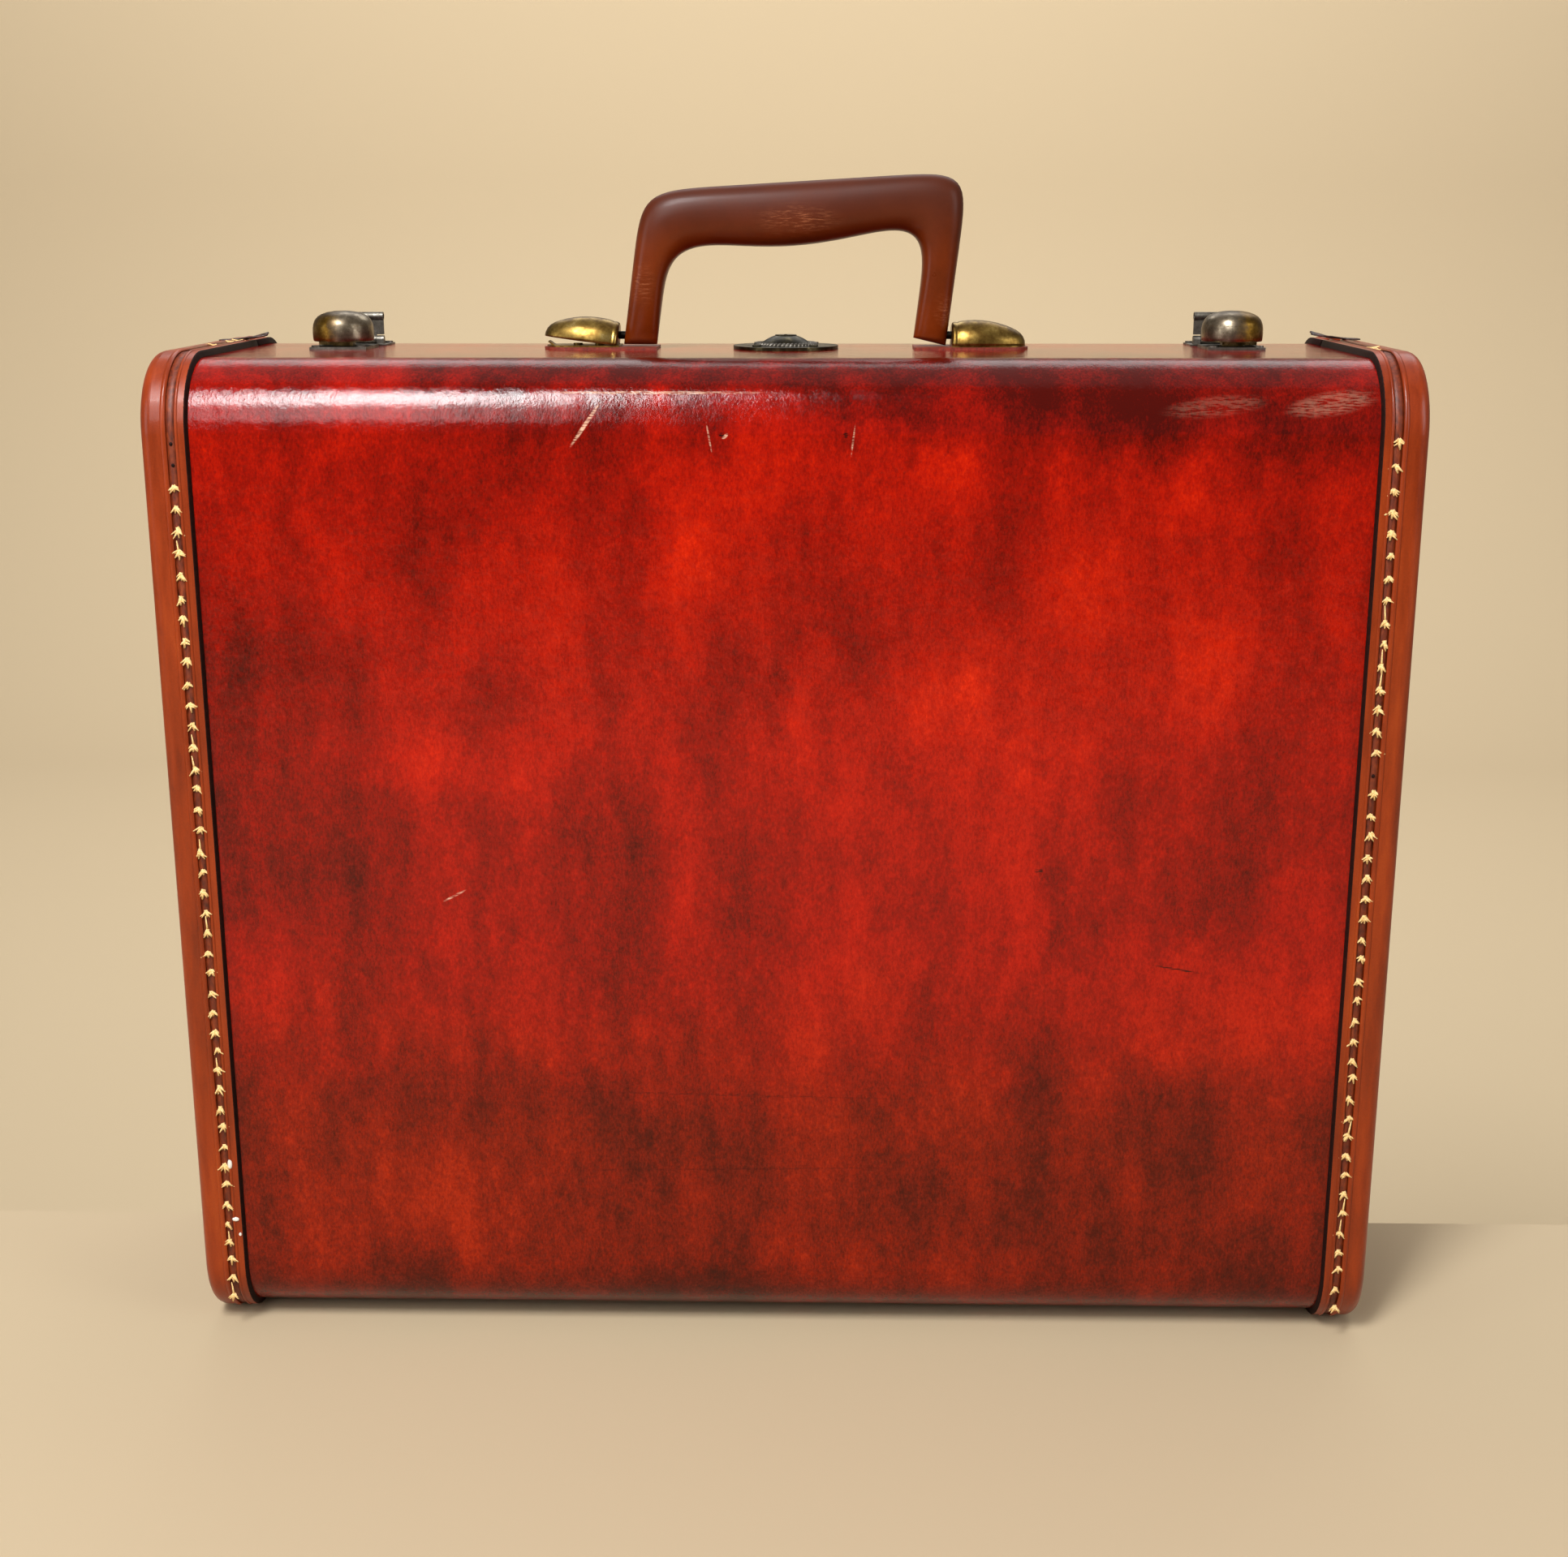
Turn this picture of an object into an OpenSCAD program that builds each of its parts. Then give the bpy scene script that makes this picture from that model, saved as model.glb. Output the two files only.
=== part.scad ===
// Vintage hard suitcase standing on its hinge side. A deep front half carries the handle,
// the latches and the lock, and a shallow rear lid is hinged along the bottom seam.
// Width runs along X, depth along Y with the front at -Y, and height along Z.

/* [Case] */
// Width over the end bindings
case_w = 457; // [400:1:520]
// Height over the bindings, without the handle
case_h = 381; // [330:1:430]
// Depth over the bindings
case_d = 150; // [140:1:180]
// Depth of the rear lid, from the seam to the back
lid_d = 47; // [44:1:55]
// Outside corner radius of the covering, front and back
corner_r = 25; // [20:1:28]
// Gap between the two halves at the seam
seam_gap = 0.6; // [0.4:0.1:1]

/* [Walls] */
// Thickness of the bent ply shells
shell_t = 4; // [3.5:0.5:5]
// Thickness of the covered end panels
end_t = 4; // [3:0.5:5]
// Thickness of the marbled covering
cover_t = 0.8; // [0.5:0.1:1.2]
// Thickness of the paper lining
lining_t = 0.6; // [0.4:0.1:1]
// Thickness of the ply rim strip
rim_t = 3; // [2:0.5:4]
// Width of the rim strip inside the front half
rim_in = 12; // [8:1:16]
// Length of the tongue that the rim pushes into the lid
rim_out = 5; // [4:0.5:7]
// Clearance around the tongue
rim_fit = 0.5; // [0.3:0.1:0.8]
// Height above the bottom at which the rim strip starts
rim_foot = 40; // [35:1:80]

/* [Bindings] */
// How far the bindings stand proud of the covering
binding_t = 2.5; // [2.3:0.1:3]
// Width of a binding on the front, top and back
binding_face_w = 16.5; // [15:0.5:20]
// Width of a binding on the end panels
binding_end_w = 17; // [14:0.5:20]
// Radius of the bull nose at the outer edge
nose_r = 4.5; // [3.5:0.5:5]
// Width of the stitched groove
groove_w = 3.6; // [3:0.2:4.4]
// Depth of the stitched groove
groove_h = 0.8; // [0.4:0.1:1.2]
// Distance from the outer edge to the middle of the groove
groove_at = 11.5; // [10.5:0.5:12]
// Distance from the seam at which the bottom runs stop
binding_stop = 4; // [3.5:0.5:6]

/* [Hinges] */
// Distance of the middle of each hinge from the end of the case
hinge_in = 98.5; // [60:0.5:130]
// Length of a hinge
hinge_l = 40; // [30:1:60]
// Width of a hinge leaf
leaf_w = 15; // [13:0.5:20]
// Thickness of a hinge leaf
leaf_t = 0.8; // [0.6:0.1:1]
// Radius of the hinge knuckles
knuckle_r = 1.9; // [1.7:0.1:2]
// Radius of the hinge pins
hinge_pin_r = 1; // [0.8:0.1:1.1]
// Height of the hinge axis above the ground
hinge_z = 2.2; // [2.1:0.1:2.4]
// Gap between neighbouring knuckles, and between a knuckle and the wood
knuckle_gap = 0.4; // [0.3:0.1:0.6]

/* [Handle] */
// Distance of the handle, lock and latches from the seam
hardware_in = 16; // [15:0.5:22]
// Width over the handle's legs
handle_w = 125.4; // [110:0.2:140]
// Height of the grip above the covering
handle_h = 62.9; // [52:0.1:70]
// Width of each leg
leg_w = 13; // [10:0.2:14]
// Thickness of the grip near its ends
grip_t = 19.4; // [16:0.2:22]
// Extra fullness of the belly under the grip
grip_belly = 4.6; // [0:0.2:6]
// Depth of the grip from front to back
grip_d = 19; // [15:0.5:20]
// Rise of the worn grip from left to right, per unit of width
grip_slope = 0.058; // [0:0.002:0.06]
// Sideways lean of the worn handle, per unit of height
handle_lean = 0.13; // [0:0.01:0.15]
// Squareness of the shoulders, 2 being an ellipse
handle_square = 10; // [3:0.5:12]
// Squareness of the shoulders of the hand opening, 2 being round
opening_square = 6; // [3:0.5:8]
// Rise of the worn hand opening towards its right end
opening_tilt = 2.2; // [0:0.2:3]
// Roundness of the handle's section, 2 being an ellipse
section_square = 2.6; // [2:0.1:4]
// How quickly the grip swells from the legs, 1 being slowest
grip_swell = 0.7; // [0.5:0.1:1]
// Height of the pivot above the covering
pivot_h = 5.1; // [4.8:0.1:6]
// Radius of the handle's pivot pins
handle_pin_r = 1.5; // [1:0.1:2]
// Depth of the pin holes in the legs
pin_hole_l = 9; // [6:0.5:11]
// How far the pin heads stand out round the pins
pin_head_lip = 0.9; // [0.6:0.1:1.2]

/* [Handle brackets] */
// Length of each teardrop bracket
bracket_l = 28.8; // [24:0.2:32]
// Distance from the handle end of a bracket to its first rivet
handle_rivet_in = 8.4; // [7:0.2:10]
// Distance between the two rivets of a bracket
handle_rivet_step = 8.4; // [6:0.2:10]
// Greatest height of a bracket
bracket_h = 9.4; // [8.5:0.1:10]
// Distance from the handle end to the highest point
bracket_peak = 9; // [7:0.5:12]
// Height of the tip
bracket_tip = 3.5; // [1:0.1:4.5]
// Wall of the pressed brackets
bracket_wall = 1; // [0.6:0.1:1.2]
// Gap between a leg and its bracket
bracket_gap = 1.6; // [1.3:0.1:3]
// Angle by which the worn left bracket has lifted
bracket_lift = 7; // [0:0.5:8]
// Thickness of the leather pads
pad_t = 0.9; // [0.6:0.1:1.2]
// Depth of the pads from front to back
pad_d = 22; // [18:0.5:26]
// Thickness of the brass plates under the brackets
plate_t = 0.6; // [0.4:0.1:0.8]
// Depth of the brass plates
plate_d = 17; // [15:0.5:18]
// Length of the left plate's turned-up tip
tip_l = 3; // [2:0.5:4]
// Width of the left plate's turned-up tip
tip_w = 5.6; // [4:0.2:8]
// Angle of the left plate's turned-up tip
tip_turn = 35; // [10:1:45]

/* [Latches] */
// Distance of the middle of each latch from the end of the case
latch_in = 55.5; // [45:0.5:80]
// Radius of a latch dome
dome_r = 11.5; // [10:0.1:12]
// Height of a latch dome
dome_h = 11; // [8:0.1:12]
// Height of the dome's upright side
dome_side_h = 6; // [4:0.5:7]
// Wall of the pressed dome
dome_t = 1; // [0.6:0.1:1.4]
// Gap between the latch plate and the dome
dome_gap = 2; // [1.8:0.1:3]
// Thickness of the latch plate
latch_plate_t = 1; // [0.8:0.1:1.2]
// Width of the latch plate
latch_plate_w = 22; // [20:0.5:24]
// Sideways travel of the dome
slide_travel = 4; // [3:0.5:5]
// Width of the stem that carries the dome
stem_w = 8; // [6:0.5:9]
// Depth of the stem that carries the dome
stem_d = 5; // [4:0.5:6]
// Thickness of the clinched foot under the plate
foot_t = 0.8; // [0.6:0.1:1.2]
// How far the clinched foot reaches past the stem
foot_lip = 1.5; // [1:0.1:2]
// Play between the slide and the fixed pieces
slide_fit = 0.4; // [0.3:0.1:0.6]
// Radius of the catch finger
finger_r = 0.8; // [0.6:0.1:0.9]
// Width of the arm that carries the finger
arm_w = 2; // [1.5:0.1:2.5]
// How far a hasp sits inwards of its dome
hasp_off = 4; // [0:0.5:5]
// Width of a hasp
hasp_w = 14; // [12:0.5:16]
// Length of a hasp from its pin to its curled end
hasp_l = 9.2; // [8.5:0.1:10]
// Thickness of a hasp
hasp_t = 1; // [0.8:0.1:1.2]
// Height of the hasp pin above the covering
hasp_h = 2.2; // [2.2:0.1:2.6]
// Outside radius of the hasp's curled end and knuckles
curl_r = 1.6; // [1.5:0.1:1.7]
// Bore radius of the curled end
curl_bore_r = 1.15; // [1.1:0.05:1.25]
// Width of the hasp's middle knuckle
hasp_knuckle_w = 8; // [6:0.5:9]
// Radius of the hasp pin
hasp_pin_r = 0.7; // [0.6:0.05:0.9]
// Thickness of the keeper plate
keeper_t = 0.6; // [0.5:0.1:0.8]
// Length of the keeper plate behind the hasp pin
keeper_tail = 11; // [9:0.5:14]
// Width of the keeper plate
keeper_w = 18; // [17:0.5:22]

/* [Lock] */
// Radius of the lock's flange
flange_r = 20.4; // [17:0.2:21]
// Thickness of the lock's flange
flange_t = 1.3; // [1:0.1:1.6]
// Radius of the lock's dome
lock_dome_r = 10.4; // [9:0.1:11]
// Height of the lock's dome above the flange
lock_dome_h = 4.3; // [3.5:0.1:5]
// How far the top of the lock's dome is cut flat
lock_dome_cut = 0.3; // [0.2:0.1:0.5]
// Radius of the turning plug
plug_r = 4.2; // [3.5:0.1:4.5]
// Width of the key slot
key_w = 1.2; // [1:0.1:1.6]
// Length of the key slot
key_l = 6; // [4:0.5:6.5]
// Depth of the key slot
key_h = 3; // [2:0.5:4]
// Travel of the bolt
bolt_travel = 7; // [6:0.5:8]
// Width of the bolt
bolt_w = 16; // [15:0.5:18]
// Thickness of the bolt
bolt_t = 3; // [2:0.5:3.5]
// Radius of the crank pin that drives the bolt
crank_r = 1.2; // [1:0.1:1.4]
// Thickness of the crank disc
crank_t = 2; // [1.5:0.1:2.2]
// Width of the crank disc outside the crank pin
crank_lip = 0.6; // [0.4:0.1:1]
// Width of the bolt in front of its cross slot
bolt_lip = 1.8; // [1.4:0.1:2.4]
// Width of the lock case
lock_case_w = 32; // [28:1:36]
// Wall of the lock case
lock_case_t = 1; // [0.8:0.1:1.2]
// Reach of the lock case in front of the plug
lock_case_front = 11; // [10:0.5:14]
// Distance from the lock case to the seam
lock_case_in = 3; // [2.5:0.5:5]
// Width of the two ears of the lock case
ear_w = 6; // [5:0.5:8]
// Width of the striker on the lid
striker_w = 24; // [22:0.5:28]
// Thickness of the striker
striker_t = 1.5; // [1:0.1:2]
// Length of the striker's foot
striker_foot = 14; // [12:0.5:18]

/* [Fasteners and fits] */
// Radius of the rivet shanks
rivet_r = 1.1; // [0.8:0.1:1.2]
// Radius of the rivet heads
rivet_head_r = 1.8; // [1.5:0.1:2]
// Height of the rivet heads
rivet_head_h = 0.6; // [0.4:0.1:0.8]
// Clearance of a fixed pin or rivet in its hole
fixed_fit = 0.03; // [0.02:0.01:0.05]
// Running clearance of a pin that turns
run_fit = 0.05; // [0.03:0.01:0.08]

/* [Hidden] */
$fn = 64;
cut = 1;
handle_rings = 48;
handle_sides = 20;

// Insets of the layers, measured inwards from the outside of the bindings
cover_in = binding_t;
shell_in = cover_in + cover_t;
lining_in = shell_in + shell_t;
room_in = lining_in + lining_t;

// Main planes
seam_y = case_d / 2 - lid_d;
base_edge_y = seam_y - seam_gap / 2;
lid_edge_y = seam_y + seam_gap / 2;
top_z = case_h - cover_in;
ceiling_z = case_h - lining_in;
end_out_x = case_w / 2 - binding_t;
end_in_x = end_out_x - end_t;
nose_corner_r = corner_r + binding_t;
hardware_y = seam_y - hardware_in;
pivot_z = top_z + pivot_h;

// Handle brackets and pads
bracket_x = handle_w / 2 + bracket_gap;
plate_z = top_z + pad_t;
bracket_z = plate_z + plate_t;
bracket_arc = (pow(bracket_l - bracket_peak, 2) + pow(bracket_h - bracket_tip, 2))
    / (2 * (bracket_h - bracket_tip));
eye_r = pivot_h - pad_t - slide_fit;
pin_head_r = handle_pin_r + pin_head_lip;
pin_head_t = bracket_wall;
pad_in_x = handle_w / 2 - leg_w;
handle_rivet_x = [bracket_x + handle_rivet_in, bracket_x + handle_rivet_in + handle_rivet_step];

// Latches
latch_x = case_w / 2 - latch_in;
hasp_x = latch_x - hasp_off;
latch_z = top_z + latch_plate_t;
dome_z = latch_z + dome_gap;
dome_arc = (pow(dome_r, 2) + pow(dome_h - dome_side_h, 2)) / (2 * (dome_h - dome_side_h));
hasp_z = top_z + hasp_h;
catch_y = hardware_y + dome_r + curl_r + slide_fit + finger_r;
hasp_y = catch_y + hasp_l;
finger_in = hasp_w / 2 + slide_fit;
arm_in = finger_in + slide_travel;
keeper_knuckle_in = hasp_knuckle_w / 2 + slide_fit / 2;
latch_plate_front = hardware_y - dome_r;
latch_plate_back = catch_y - curl_r - slide_fit;
latch_rivet_x = latch_plate_w / 2 - rivet_head_r - slide_fit;
latch_rivet_y = latch_plate_front + rivet_head_r + slide_fit;
keeper_rivet_x = keeper_w / 2 - rivet_head_r - slide_fit;
keeper_rivet_y = hasp_y + keeper_tail - rivet_head_r - slide_fit;
pocket_h = foot_t + 2 * slide_fit;

// Lock, with a crank pin that carries the bolt through a quarter turn
crank_l = bolt_travel / sqrt(2);
crank_disc_r = crank_l + crank_r + crank_lip;
crank_z = ceiling_z - slide_fit - crank_t;
bolt_z = ceiling_z - rim_t - slide_fit - bolt_t - slide_fit;
lock_floor_z = bolt_z - slide_fit / 2;
lock_case_back = seam_y - lock_case_in;
bolt_front_y = hardware_y - crank_l / sqrt(2) - crank_r - bolt_lip;
bolt_nose_y = base_edge_y - slide_fit;
striker_y = lid_edge_y + slide_fit;
striker_drop_z = lock_floor_z - striker_t;
lock_arc = (pow(lock_dome_r, 2) + pow(lock_dome_h, 2)) / (2 * lock_dome_h);
lock_dome_flat = lock_dome_h - lock_dome_cut;
flange_rivet_r = (flange_r + lock_dome_r) / 2;
ear_rivet_x = lock_case_w / 2 + ear_w / 2;

// Hinges, each with two knuckles on the front half and one on the lid
hinge_x = case_w / 2 - hinge_in;
leaf_z = cover_in - leaf_t;
knuckle_l = hinge_l / 3;
leaf_rivet_x = knuckle_l;
leaf_rivet_y = (leaf_w + knuckle_r) / 2;

// Colours of the materials
marbled_red = "#8c1a08";
binding_tan = "#8a4310";
bare_ply = "#b98d55";
lining_paper = "#c9b48a";
grip_brown = "#6b2a12";
aged_brass = "#8d7434";
bright_steel = "#9a9a98";
pad_leather = "#8a3320";

// Placing helpers

module on_side(side) {
    mirror([side < 0 ? 1 : 0, 0, 0]) children();
}

// Sweeps an outline drawn in depth and height along the width
module along_x(from, to) {
    translate([from, 0, 0]) rotate([90, 0, 90]) linear_extrude(to - from) children();
}

module rod_x(from, to, y, z, r) {
    translate([from, y, z]) rotate([0, 90, 0]) cylinder(r = r, h = to - from);
}

module box(low, high) {
    translate(low) cube(high - low);
}

// The closed case seen from its end, at a given inset from the outside of the bindings
module end_outline(inset) {
    r = nose_corner_r - inset;
    w = case_d - 2 * inset;
    h = case_h - 2 * inset;
    translate([-w / 2, inset + r]) square([w, h - 2 * r]);
    translate([-w / 2 + r, inset]) square([w - 2 * r, h]);
    for (y = [-w / 2 + r, w / 2 - r], z = [inset + r, inset + h - r])
        translate([y, z]) circle(r);
}

// The part of that outline in front of the seam
module base_outline(inset, edge = base_edge_y) {
    intersection() {
        end_outline(inset);
        translate([-case_d, -cut]) square([case_d + edge, case_h + 2 * cut]);
    }
}

// The part of that outline behind the seam
module lid_outline(inset, edge = lid_edge_y) {
    intersection() {
        end_outline(inset);
        translate([edge, -cut]) square([case_d, case_h + 2 * cut]);
    }
}

// Hollow for the hinge knuckles along the bottom edges
module knuckle_room() {
    for (side = [-1, 1])
        rod_x(side * hinge_x - hinge_l / 2 - knuckle_gap, side * hinge_x + hinge_l / 2 + knuckle_gap,
            seam_y, hinge_z, knuckle_r + knuckle_gap);
}

// Rivets and their holes

module upright_rivet(x, y, seat_z, end_z) {
    translate([x, y, end_z]) cylinder(r = rivet_r, h = seat_z - end_z);
    translate([x, y, seat_z]) cylinder(r = rivet_head_r, h = rivet_head_h);
}

module hanging_rivet(x, y, seat_z, end_z) {
    translate([x, y, seat_z]) cylinder(r = rivet_r, h = end_z - seat_z);
    translate([x, y, seat_z - rivet_head_h]) cylinder(r = rivet_head_r, h = rivet_head_h);
}

module rivet_hole(x, y) {
    translate([x, y, ceiling_z - cut]) cylinder(r = rivet_r + fixed_fit, h = case_h);
}

module floor_rivet_hole(x, y) {
    translate([x, y, -cut]) cylinder(r = rivet_r + fixed_fit, h = lining_in + 2 * cut);
}

module handle_rivet_places() {
    for (side = [-1, 1], x = handle_rivet_x) translate([side * x, hardware_y, 0]) children();
}

module latch_rivet_places() {
    for (side = [-1, 1], x = [-latch_rivet_x, latch_rivet_x])
        translate([side * latch_x + x, latch_rivet_y, 0]) children();
}

module keeper_rivet_places() {
    for (side = [-1, 1], x = [-keeper_rivet_x, keeper_rivet_x])
        translate([side * hasp_x + x, keeper_rivet_y, 0]) children();
}

module flange_rivet_places() {
    for (turn = [45 : 90 : 315])
        translate([flange_rivet_r * cos(turn), hardware_y + flange_rivet_r * sin(turn), 0]) children();
}

module ear_rivet_places() {
    for (side = [-1, 1]) translate([side * ear_rivet_x, hardware_y, 0]) children();
}

module base_leaf_rivet_places() {
    for (side = [-1, 1], x = [-leaf_rivet_x, leaf_rivet_x])
        translate([side * hinge_x + x, seam_y - leaf_rivet_y, 0]) children();
}

module lid_leaf_rivet_places() {
    for (side = [-1, 1], x = [-leaf_rivet_x, leaf_rivet_x])
        translate([side * hinge_x + x, seam_y + leaf_rivet_y, 0]) children();
}

// Everything drilled or cut through the front half's top and bottom
module base_holes() {
    handle_rivet_places() rivet_hole(0, 0);
    latch_rivet_places() rivet_hole(0, 0);
    flange_rivet_places() rivet_hole(0, 0);
    ear_rivet_places() rivet_hole(0, 0);
    base_leaf_rivet_places() floor_rivet_hole(0, 0);
    translate([0, hardware_y, ceiling_z - cut]) cylinder(r = plug_r + slide_fit, h = case_h);
    for (side = [-1, 1]) latch_pocket(side);
    knuckle_room();
}

module lid_holes() {
    keeper_rivet_places() rivet_hole(0, 0);
    lid_leaf_rivet_places() floor_rivet_hole(0, 0);
    knuckle_room();
}

// Sunk pocket under a latch plate, long enough for the travel of the clinched foot
module latch_pocket(side) {
    half_w = stem_w / 2 + foot_lip + slide_fit;
    half_d = stem_d / 2 + foot_lip + slide_fit;
    on_side(side)
        box([latch_x - half_w - slide_travel, hardware_y - half_d, top_z - pocket_h],
            [latch_x + half_w, hardware_y + half_d, top_z + cut]);
}

// Front half

module base_shell() {
    color(bare_ply) difference() {
        along_x(-end_in_x, end_in_x) difference() {
            base_outline(shell_in);
            end_outline(lining_in);
        }
        base_holes();
    }
}

module base_end(side) {
    on_side(side) along_x(end_in_x, end_out_x) base_outline(shell_in);
}

module base_end_left() { color(marbled_red) base_end(-1); }
module base_end_right() { color(marbled_red) base_end(1); }

module base_cover() {
    color(marbled_red) difference() {
        along_x(-end_out_x, end_out_x) difference() {
            base_outline(cover_in);
            end_outline(shell_in);
        }
        base_holes();
    }
}

// Section of a binding: across the edge along the first axis, along the width on the second
module binding_section() {
    out_x = case_w / 2;
    in_x = out_x - binding_face_w;
    difference() {
        union() {
            translate([-binding_end_w, in_x]) square([binding_end_w - nose_r, binding_face_w]);
            translate([-binding_end_w, in_x]) square([binding_end_w, binding_face_w - nose_r]);
            translate([-nose_r, out_x - nose_r]) circle(nose_r);
        }
        translate([-binding_end_w - cut, in_x - cut])
            square([binding_end_w - binding_t + cut, binding_face_w - binding_t + cut]);
        translate([-groove_h, out_x - groove_at - groove_w / 2]) square([groove_h + cut, groove_w]);
    }
}

// One binding of a half: along the bottom, round the corner, up, round again and along the top
module binding_loop(bottom_l, top_l) {
    r = nose_corner_r;
    run_y = -case_d / 2 + r;
    translate([0, -case_d / 2, r]) rotate([0, 0, -90]) linear_extrude(case_h - 2 * r) binding_section();
    translate([0, run_y, case_h]) rotate([-90, -90, 0]) linear_extrude(top_l - r) binding_section();
    translate([0, run_y + bottom_l - r, 0]) rotate([180, 0, 0]) rotate([-90, -90, 0])
        linear_extrude(bottom_l - r) binding_section();
    for (corner = [[case_h - r, 90], [r, 180]])
        translate([0, run_y, corner[0]]) rotate([90, 0, 90]) rotate([0, 0, corner[1]])
            rotate_extrude(angle = 90) translate([r, 0]) binding_section();
}

module base_binding(side) {
    base_d = case_d - lid_d;
    on_side(side) binding_loop(base_d - binding_stop, base_d - seam_gap);
}

module base_binding_left() { color(binding_tan) base_binding(-1); }
module base_binding_right() { color(binding_tan) base_binding(1); }

// A strip of the rim along the top and both ends, between two depths
module rim_band(from_y, to_y, inset) {
    side_x = end_in_x - inset;
    in_x = end_in_x - rim_t;
    difference() {
        along_x(-side_x, side_x) intersection() {
            end_outline(lining_in + inset);
            translate([from_y, rim_foot]) square([to_y - from_y, case_h]);
        }
        along_x(-in_x, in_x) intersection() {
            end_outline(lining_in + rim_t);
            translate([from_y - cut, 0]) square([to_y - from_y + 2 * cut, case_h]);
        }
    }
}

module base_rim() {
    gap_x = lock_case_w / 2 + ear_w + slide_fit;
    notch_x = striker_w / 2 + slide_fit;
    color(bare_ply) difference() {
        union() {
            rim_band(base_edge_y - rim_in, base_edge_y, 0);
            rim_band(base_edge_y - cut, base_edge_y + seam_gap + rim_out, rim_fit);
        }
        box([-gap_x, -case_d, rim_foot], [gap_x, lock_case_back + slide_fit, case_h]);
        box([-notch_x, base_edge_y, rim_foot], [notch_x, case_d, case_h]);
        base_holes();
    }
}

// Thin sheet against the inside of the walls
module lining_sheet() {
    in_x = end_in_x - lining_t;
    difference() {
        along_x(-end_in_x, end_in_x) children(0);
        along_x(-in_x, in_x) children(1);
    }
}

module base_lining() {
    edge = base_edge_y - rim_in - slide_fit;
    gap_x = lock_case_w / 2 + ear_w + slide_fit;
    color(lining_paper) difference() {
        lining_sheet() {
            base_outline(lining_in, edge);
            end_outline(room_in);
        }
        box([-gap_x, hardware_y - lock_case_front - slide_fit, rim_foot], [gap_x, case_d, case_h]);
    }
}

// Rear lid

module lid_shell() {
    color(bare_ply) difference() {
        along_x(-end_in_x, end_in_x) difference() {
            lid_outline(shell_in);
            end_outline(lining_in);
        }
        lid_holes();
    }
}

module lid_end(side) {
    on_side(side) along_x(end_in_x, end_out_x) lid_outline(shell_in);
}

module lid_end_left() { color(marbled_red) lid_end(-1); }
module lid_end_right() { color(marbled_red) lid_end(1); }

module lid_cover() {
    color(marbled_red) difference() {
        along_x(-end_out_x, end_out_x) difference() {
            lid_outline(cover_in);
            end_outline(shell_in);
        }
        lid_holes();
    }
}

module lid_binding(side) {
    on_side(side) mirror([0, 1, 0]) binding_loop(lid_d - binding_stop, lid_d - seam_gap);
}

module lid_binding_left() { color(binding_tan) lid_binding(-1); }
module lid_binding_right() { color(binding_tan) lid_binding(1); }

module lid_lining() {
    edge = lid_edge_y + rim_out + 2 * slide_fit;
    gap_x = striker_w / 2 + slide_fit;
    color(lining_paper) difference() {
        lining_sheet() {
            lid_outline(lining_in, edge);
            end_outline(room_in);
        }
        box([-gap_x, 0, rim_foot], [gap_x, striker_y + striker_foot + slide_fit, case_h]);
    }
}

// Hinges

module hinge_base_leaf(side) {
    start_x = side * hinge_x - hinge_l / 2;
    difference() {
        union() {
            box([start_x, seam_y - leaf_w, leaf_z],
                [start_x + hinge_l, seam_y - knuckle_r - knuckle_gap, cover_in]);
            for (x = [start_x, start_x + hinge_l - knuckle_l + knuckle_gap / 2]) {
                box([x, seam_y - leaf_w, leaf_z], [x + knuckle_l - knuckle_gap / 2, seam_y, cover_in]);
                rod_x(x, x + knuckle_l - knuckle_gap / 2, seam_y, hinge_z, knuckle_r);
            }
        }
        rod_x(start_x - cut, start_x + hinge_l + cut, seam_y, hinge_z, hinge_pin_r + fixed_fit);
        base_leaf_rivet_places() floor_rivet_hole(0, 0);
    }
}

module hinge_base_leaf_left() { color(aged_brass) hinge_base_leaf(-1); }
module hinge_base_leaf_right() { color(aged_brass) hinge_base_leaf(1); }

module hinge_lid_leaf(side) {
    start_x = side * hinge_x - hinge_l / 2;
    mid_x = start_x + knuckle_l + knuckle_gap / 2;
    end_x = start_x + 2 * knuckle_l - knuckle_gap / 2;
    difference() {
        union() {
            box([start_x, seam_y + knuckle_r + knuckle_gap, leaf_z],
                [start_x + hinge_l, seam_y + leaf_w, cover_in]);
            box([mid_x, seam_y, leaf_z], [end_x, seam_y + leaf_w, cover_in]);
            rod_x(mid_x, end_x, seam_y, hinge_z, knuckle_r);
        }
        rod_x(start_x - cut, start_x + hinge_l + cut, seam_y, hinge_z, hinge_pin_r + run_fit);
        lid_leaf_rivet_places() floor_rivet_hole(0, 0);
    }
}

module hinge_lid_leaf_left() { color(aged_brass) hinge_lid_leaf(-1); }
module hinge_lid_leaf_right() { color(aged_brass) hinge_lid_leaf(1); }

module hinge_pin(side) {
    start_x = side * hinge_x - hinge_l / 2;
    rod_x(start_x, start_x + hinge_l, seam_y, hinge_z, hinge_pin_r);
}

module hinge_pin_left() { color(bright_steel) hinge_pin(-1); }
module hinge_pin_right() { color(bright_steel) hinge_pin(1); }

module hinge_base_rivets() {
    color(aged_brass) base_leaf_rivet_places() hanging_rivet(0, 0, leaf_z, lining_in);
}

module hinge_lid_rivets() {
    color(aged_brass) lid_leaf_rivet_places() hanging_rivet(0, 0, leaf_z, lining_in);
}

// Handle

// A unit arch with square shoulders, from the right leg over the top to the left leg
function arch(turn, square) =
    let (c = cos(turn), s = sin(turn))
    [c, s] / pow(pow(abs(c), square) + pow(abs(s), square), 1 / square);

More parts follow.
